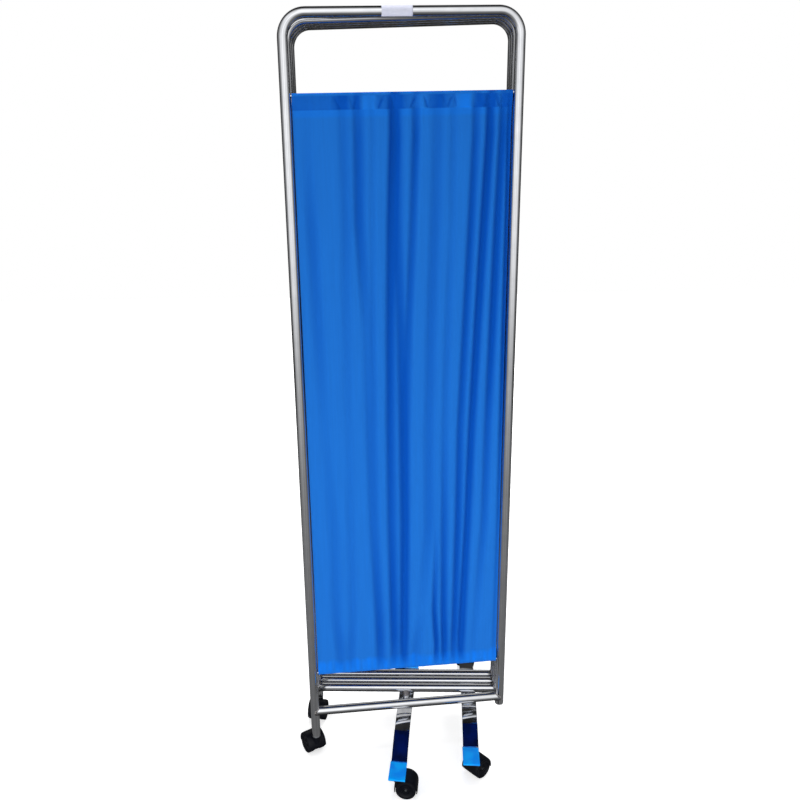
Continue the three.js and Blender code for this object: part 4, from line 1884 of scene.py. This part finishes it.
    def stem_boss(self) -> Mesh:
        """Turn the boss that the stem stands in.

        Returns:
            The boss in the caster's own place.
        """
        top = self.seat - self.gap - self.flange_height - self.swivel_gap
        bore, radius = self.stem / 2 + self.gap, self.boss / 2
        profile = [
            (bore, top - self.boss_height),
            (radius, top - self.boss_height),
            (radius, top - self.boss_edge),
            (radius - self.boss_edge, top),
            (bore, top),
        ]
        return turned(profile, segments=40)

    def axle_pin(self) -> Mesh:
        """Turn the axle with rounded ends."""
        profile = bar_profile(self.axle / 2, self.half_width - self.axle_inset, self.axle_edge)
        return moved(turned(profile, segments=28), self.at_axle())

    def dished_wheel(self, side: int) -> Mesh:
        """Turn one wheel: a crowned tread, a dished face, a hub and a raised ring.

        Args:
            side: The wheel's side of the hood, -1 or 1.

        Returns:
            The wheel on its axle.
        """
        radius, bore, edge = self.wheel / 2, self.axle / 2 + self.gap, self.wheel_edge
        inner, outer = self.web / 2 + self.side_gap, self.half_width
        tread = [
            (radius - self.tread_depth, inner + 0.4),
            (radius - 0.9, inner),
            (radius - 0.2, inner + 0.9),
            (radius, inner + 3.0),
            (radius, outer - 3.4),
            (radius - 0.3, outer - 1.3),
            (radius - 1.2, outer - 0.4),
            (radius - 2.6, outer),
            (radius - 5.0, outer - 0.3),
            (radius - self.tread_depth, outer - 0.9),
        ]
        rim = radius - self.tread_depth + self.tread_bite
        dish, hub = outer - self.dish, outer - self.hub_depth
        ring_in, ring_out = self.ring
        core = [
            (bore, inner),
            (rim, inner),
            (rim, outer - 1.0),
            (rim - 1.3, outer - 2.4),
            (rim - 2.7, outer - 3.4),
            (ring_out + edge, dish),
            (ring_out, dish + self.ring_height),
            (ring_in, dish + self.ring_height),
            (ring_in - edge, dish),
            (self.hub_face + 1.4, dish),
            (self.hub_face + 0.8, hub - edge),
            (self.hub_face, hub),
            (bore + edge, hub),
            (bore, hub - edge),
        ]
        parts = [painted(turned(tread, segments=72), 0), painted(turned(core, segments=72), 1)]
        return moved(joined(parts), self.at_axle(side))


# Label


@dataclass
class BarLabel:
    """A blank sticker wrapped round the front of a panel's top bar."""

    panel: Panel
    left: float = -43.0
    right: float = 19.0
    lowest: float = -60.0
    highest: float = 84.0
    proud: float = 0.12

    def build(self) -> None:
        """Bend a small grid round the bar and give it a paper's thickness."""
        bm = bmesh.new()
        bmesh.ops.create_grid(bm, x_segments=24, y_segments=24, size=1.0)
        radius = self.panel.tube / 2 + self.proud
        level = self.panel.height - self.panel.tube / 2
        for vert in bm.verts:
            across, up = (vert.co.x + 1) / 2, (vert.co.y + 1) / 2
            angle = math.radians(self.lowest + (self.highest - self.lowest) * up)
            vert.co = (
                self.left + (self.right - self.left) * across,
                -radius * math.cos(angle),
                level + radius * math.sin(angle),
            )
        faced(bm, Vector((0, -1, 0)))
        bmesh.ops.solidify(bm, geom=bm.faces[:], thickness=self.proud * SKIN_SHARE)
        finished(
            f"{self.panel.name}_blank_label", bm, self.panel.place().matrix(), self.panel.name,
            [], [LABEL], sharp=180.0,
        )


# Studio


@dataclass(frozen=True)
class Softbox:
    """A large square lamp, its place, the point that it faces, its side and its power."""

    name: str
    place: tuple[float, float, float]
    aim: tuple[float, float, float]
    side: float
    power: float


@dataclass
class Studio:
    """The white studio: floor, world, lamps, a reflection ball and the camera."""

    ambient: float = 0.44
    floor_side: float = 14.0
    floor_colour: str = "#E8E8E8"
    floor_fade: tuple[float, float] = (0.9, 3.2)  # near and far distance from the middle
    floor_lift: tuple[float, float] = (0.56, 0.95)  # glow at both
    lamps: tuple[Softbox, ...] = (
        Softbox("key_softbox", (-2.8, -2.4, 1.6), (0, 0, 0.8), 1.5, 47.0),
        Softbox("front_softbox", (0.5, -1.95, 0.5), (0, 0, 0.45), 0.9, 16.5),
        Softbox("top_softbox", (-0.1, 0.15, 3.4), (-0.1, 0.15, 0), 0.9, 40.0),
        Softbox("back_softbox", (1.6, 3.6, 2.6), (0, 0, 0.9), 2.4, 110.0),
    )
    dome_radius: float = 9.0
    dome_power: float = 1.25
    low_band: tuple[float, float] = (-0.15, -0.5)  # heights between which "well below" begins
    blotches: tuple[float, float] = (0.72, 1.15)  # darkest and brightest, as a factor
    blotch_scale: tuple[float, float, float] = (0.4, 0.4, 0.15)
    # brightness that metal sees round the horizon, from the camera's side round to the back
    round_shares: Pairs = (
        (0.0, 1.0), (0.2, 0.97), (0.3, 0.66), (0.4, 0.3), (0.5, 0.12), (0.62, 0.05), (0.82, 0.04),
    )
    # the same for what lies well below the horizon
    low_shares: Pairs = ((0.0, 1.0), (0.6, 1.0), (0.85, 0.6), (1.0, 0.3))
    # and from straight below through the horizon, at a half, to straight above
    rise_shares: Pairs = (
        (0.0, 0.012), (0.167, 0.045), (0.278, 0.12), (0.344, 0.165), (0.4, 0.24), (0.456, 0.46),
        (0.5, 0.84), (0.55, 0.95), (0.778, 1.0), (0.867, 0.5), (0.906, 0.2), (0.944, 0.09),
        (1.0, 0.05),
    )
    # a pale wall behind the object: its brightness round to the back and from bottom to top
    wall_shares: Pairs = ((0.0, 0.0), (0.78, 0.0), (0.9, 0.5), (1.0, 0.5))
    wall_rises: Pairs = (
        (0.0, 0.0), (0.575, 0.0), (0.6, 1.0), (0.79, 1.0), (0.82, 0.0), (1.0, 0.0),
    )
    camera_place: tuple[float, float, float] = (6.0, -1826.4, 1469.0)
    camera_heading: float = 2.87
    camera_pitch: float = 17.19
    camera_roll: float = 1.41
    lens: float = 35.9
    sensor: float = 36.0
    shift: tuple[float, float] = (0.047, 0.0065)

    def build(self) -> None:
        """Set up the light, the floor and the camera."""
        bpy.context.scene.view_settings.view_transform = "Standard"
        self.make_world()
        self.make_floor()
        for lamp in self.lamps:
            self.make_lamp(lamp)
        self.make_dome()
        self.make_camera()

    def white_rays(self, tree: Tree) -> Socket:
        """Tell the rays that see a white studio from those that only light the object.

        Args:
            tree: The node tree that gets the nodes.

        Returns:
            An output that is 1 for camera, glossy and transmission rays and 0 for the rest.
        """
        path = add_node(tree, "ShaderNodeLightPath")
        white = path.outputs["Is Camera Ray"]
        for ray in ("Is Glossy Ray", "Is Transmission Ray"):
            either = add_node(
                tree, "ShaderNodeMath", links={0: white, 1: path.outputs[ray]},
                operation="MAXIMUM",
            )
            white = either.outputs["Value"]
        return white

    def make_world(self) -> None:
        """A white world to the eye and to metal, and a plain soft fill to everything else."""
        world = bpy.data.worlds.new("white_studio")
        bpy.context.scene.world = world
        world.use_nodes = True
        tree = world.node_tree
        strength = add_node(
            tree, "ShaderNodeMapRange", {"To Min": self.ambient, "To Max": 1.0},
            {"Value": self.white_rays(tree)},
        )
        background = tree.nodes["Background"]
        background.inputs["Color"].default_value = (1, 1, 1, 1)
        tree.links.new(strength.outputs["Result"], background.inputs["Strength"])

    def make_floor(self) -> None:
        """A plain pale floor that meets the white world and keeps the object's shadow."""
        bm = bmesh.new()
        bmesh.ops.create_grid(bm, x_segments=1, y_segments=1, size=self.floor_side / 2)
        floor = self.stage_piece("studio_floor", bm)
        floor.visible_glossy = False
        material = bpy.data.materials.new("pale_painted_floor")
        material.use_nodes = True
        tree = material.node_tree
        shader = tree.nodes["Principled BSDF"]
        shader.inputs["Base Color"].default_value = to_linear(self.floor_colour)
        shader.inputs["Roughness"].default_value = 0.9
        shader.inputs["Specular IOR Level"].default_value = 0.1
        speck = add_node(tree, "ShaderNodeTexNoise", {"Scale": 60.0, "Detail": 3.0})
        bump = add_node(
            tree, "ShaderNodeBump", {"Strength": 0.02}, {"Height": speck.outputs["Fac"]}
        )
        tree.links.new(bump.outputs["Normal"], shader.inputs["Normal"])
        spot = add_node(tree, "ShaderNodeTexCoord")
        away = add_node(
            tree, "ShaderNodeVectorMath", links={0: spot.outputs["Object"]}, operation="LENGTH"
        )
        near, far = self.floor_fade
        dim, bright = self.floor_lift
        lift = add_node(
            tree, "ShaderNodeMapRange",
            {"From Min": near, "From Max": far, "To Min": dim, "To Max": bright},
            {"Value": away.outputs["Value"]}, interpolation_type="SMOOTHSTEP",
        )
        seen = add_node(
            tree, "ShaderNodeMath", links={0: lift.outputs["Result"], 1: self.white_rays(tree)},
            operation="MULTIPLY",
        )
        tree.links.new(seen.outputs["Value"], shader.inputs["Emission Strength"])
        shader.inputs["Emission Color"].default_value = (1, 1, 1, 1)
        floor.data.materials.append(material)

    def stage_piece(self, name: str, bm: Mesh) -> Piece:
        """Turn a mesh into an object of the stage.

        Args:
            name: The object's name.
            bm: Its mesh in metres, which is freed.

        Returns:
            The new object.
        """
        mesh = bpy.data.meshes.new(name)
        bm.to_mesh(mesh)
        bm.free()
        piece = bpy.data.objects.new(name, mesh)
        bpy.context.scene.collection.objects.link(piece)
        return piece

    def only_reflected(self, piece: Piece) -> Tree:
        """Hide a stage piece from all but reflections and give it a glow.

        Args:
            piece: The stage piece.

        Returns:
            The node tree of its new material.
        """
        piece.visible_camera = False
        piece.visible_diffuse = False
        piece.visible_shadow = False
        piece.visible_transmission = False
        material = bpy.data.materials.new(f"{piece.name}_glow")
        material.use_nodes = True
        material.cycles.emission_sampling = "NONE"
        piece.data.materials.append(material)
        return material.node_tree

    def set_stops(self, ramp: bpy.types.ColorRamp, stops: Pairs) -> None:
        """Give a colour ramp grey stops.

        Args:
            ramp: The ramp.
            stops: Place and brightness of each stop, in order.
        """
        while len(ramp.elements) < len(stops):
            ramp.elements.new(0.5)
        for element, (spot, value) in zip(ramp.elements, stops):
            element.position = spot
            element.color = (value, value, value, 1)

    def horizon(self, tree: Tree, spot: Socket) -> tuple[Socket, Socket, Socket]:
        """Measure where a place of the ball lies as seen from its middle.

        Args:
            tree: The ball's node tree.
            spot: The place.

        Returns:
            Its turn from the front, at 0, by either side to the back, at 1; its height as a share
            of the radius; its rise from straight below, at 0, to straight above, at 1.
        """
        axes = add_node(tree, "ShaderNodeSeparateXYZ", links={"Vector": spot}).outputs
        side = add_node(tree, "ShaderNodeMath", links={0: axes["X"]}, operation="ABSOLUTE")
        front = add_node(tree, "ShaderNodeMath", {1: -1.0}, {0: axes["Y"]}, operation="MULTIPLY")
        angle = add_node(
            tree, "ShaderNodeMath", links={0: side.outputs["Value"], 1: front.outputs["Value"]},
            operation="ARCTAN2",
        )
        turn = add_node(
            tree, "ShaderNodeMath", {1: math.pi}, {0: angle.outputs["Value"]}, operation="DIVIDE"
        )
        height = add_node(
            tree, "ShaderNodeMath", {1: self.dome_radius}, {0: axes["Z"]}, operation="DIVIDE"
        )
        slope = add_node(
            tree, "ShaderNodeMath", links={0: height.outputs["Value"]}, operation="ARCSINE"
        )
        rise = add_node(
            tree, "ShaderNodeMath", {1: 1 / math.pi, 2: 0.5}, {0: slope.outputs["Value"]},
            operation="MULTIPLY_ADD",
        )
        return turn.outputs["Value"], height.outputs["Value"], rise.outputs["Value"]

    def make_dome(self) -> None:
        """Stand a ball that only reflections see, bright before and dark at the sides and ends.

        It does what a soft light before the object and dark flags round it do in a white
        studio: it gives metal its edges. Soft blotches keep the reflections from being even.
        """
        bm = bmesh.new()
        bmesh.ops.create_uvsphere(bm, u_segments=48, v_segments=24, radius=self.dome_radius)
        tree = self.only_reflected(self.stage_piece("reflection_ball", bm))
        spot = add_node(tree, "ShaderNodeTexCoord").outputs["Object"]
        turn, height, rise = self.horizon(tree, spot)
        shares = []
        for source, stops in (
            (turn, self.round_shares), (turn, self.low_shares), (rise, self.rise_shares),
            (turn, self.wall_shares), (rise, self.wall_rises),
        ):
            ramp = add_node(tree, "ShaderNodeValToRGB", links={"Fac": source})
            self.set_stops(ramp.color_ramp, stops)
            shares.append(ramp.outputs["Color"])
        at_horizon, below, upwards, wall_round, wall_up = shares
        near, far = self.low_band
        lower = add_node(
            tree, "ShaderNodeMapRange", {"From Min": near, "From Max": far}, {"Value": height}
        )
        around = add_node(
            tree, "ShaderNodeMix", links={0: lower.outputs["Result"], 2: at_horizon, 3: below},
            data_type="FLOAT",
        )
        stretch = add_node(
            tree, "ShaderNodeMapping", {"Scale": self.blotch_scale}, {"Vector": spot}
        )
        noise = add_node(
            tree, "ShaderNodeTexNoise", {"Scale": 1.0, "Detail": 2.0},
            {"Vector": stretch.outputs["Vector"]},
        )
        dim, bright = self.blotches
        blotch = add_node(
            tree, "ShaderNodeMapRange",
            {"From Min": 0.35, "From Max": 0.65, "To Min": dim, "To Max": bright},
            {"Value": noise.outputs["Fac"]},
        )
        wall = add_node(
            tree, "ShaderNodeMath", links={0: wall_round, 1: wall_up}, operation="MULTIPLY"
        )
        level = around.outputs[0]
        for operation, source in (
            ("MULTIPLY", upwards),
            ("MAXIMUM", wall.outputs["Value"]),
            ("MULTIPLY", blotch.outputs["Result"]),
        ):
            step = add_node(
                tree, "ShaderNodeMath", links={0: level, 1: source}, operation=operation
            )
            level = step.outputs["Value"]
        strength = add_node(
            tree, "ShaderNodeMath", {1: self.dome_power}, {0: level}, operation="MULTIPLY"
        )
        emission = add_node(
            tree, "ShaderNodeEmission", links={"Strength": strength.outputs["Value"]}
        )
        surface = tree.nodes["Material Output"].inputs["Surface"]
        tree.links.new(emission.outputs["Emission"], surface)

    def make_lamp(self, lamp: Softbox) -> None:
        """Hang one softbox and turn it to its aim.

        Args:
            lamp: The softbox.
        """
        data = bpy.data.lights.new(lamp.name, "AREA")
        data.shape = "SQUARE"
        data.size = lamp.side
        data.energy = lamp.power
        piece = bpy.data.objects.new(lamp.name, data)
        bpy.context.scene.collection.objects.link(piece)
        piece.location = lamp.place
        piece.visible_camera = False
        piece.visible_glossy = False
        towards = Vector(lamp.aim) - Vector(lamp.place)
        piece.rotation_euler = towards.to_track_quat("-Z", "Y").to_euler()

    def make_camera(self) -> None:
        """Stand the camera where the photograph was taken."""
        data = bpy.data.cameras.new("photograph_camera")
        data.lens = self.lens
        data.sensor_width = self.sensor
        data.shift_x, data.shift_y = self.shift
        heading, pitch = math.radians(self.camera_heading), math.radians(self.camera_pitch)
        roll = math.radians(self.camera_roll)
        forward = Vector((
            -math.sin(heading) * math.cos(pitch),
            math.cos(heading) * math.cos(pitch),
            -math.sin(pitch),
        ))
        level = Vector((math.cos(heading), math.sin(heading), 0))
        rise = level.cross(forward)
        right = math.cos(roll) * level - math.sin(roll) * rise
        up = math.sin(roll) * level + math.cos(roll) * rise
        matrix = Matrix((right, up, -forward)).transposed().to_4x4()
        matrix.translation = Vector(self.camera_place) * MM
        camera = bpy.data.objects.new("photograph_camera", data)
        bpy.context.scene.collection.objects.link(camera)
        camera.matrix_world = matrix
        bpy.context.scene.camera = camera


def main() -> None:
    """Build the screen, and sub-assembly by sub-assembly."""
    logging.basicConfig(level=logging.INFO, format="%(message)s")
    panels = {
        1: Panel(1, True, (Knuckle(1, 1, 1),)),
        2: Panel(2, False, (Knuckle(1, -1, 0), Knuckle(-1, 1, 0))),
        3: Panel(3, False, (Knuckle(-1, -1, 1), Knuckle(1, 1, 0))),
        4: Panel(4, True, (Knuckle(1, -1, 1),)),
    }
    for panel in panels.values():
        panel.build()
    for pair, carrier in (("12", "panel_2"), ("23", "panel_2"), ("34", "panel_3")):
        HingePins(pair, carrier).build()
    Curtain(
        panels[1], FRONT_FOLDS, FRONT_PUCKERS, (0.476, 1.438),
        columns=256, body_rows=126, hem_rows=12, seed=11, tones=FRONT_TONES,
    ).build()
    for number in (2, 3, 4):
        Curtain(
            panels[number], plain_folds(number), plain_puckers(number), (0.484, 1.438),
            seed=20 + number, mirrored=False,
        ).build()
    StripFoot(panels[2]).build()
    StripFoot(panels[3], film_start=128.0).build()
    for name, carrier, in_leg in (
        ("leg_1", "panel_1", True),
        ("leg_4", "panel_4", True),
        ("foot_2_front", "panel_2", False),
        ("foot_2_rear", "panel_2", False),
        ("foot_3_front", "panel_3", False),
        ("foot_3_rear", "panel_3", False),
    ):
        TwinCaster(name, carrier, in_leg).build()
    BarLabel(panels[1]).build()
    Studio().build()


if __name__ == "__main__":
    main()
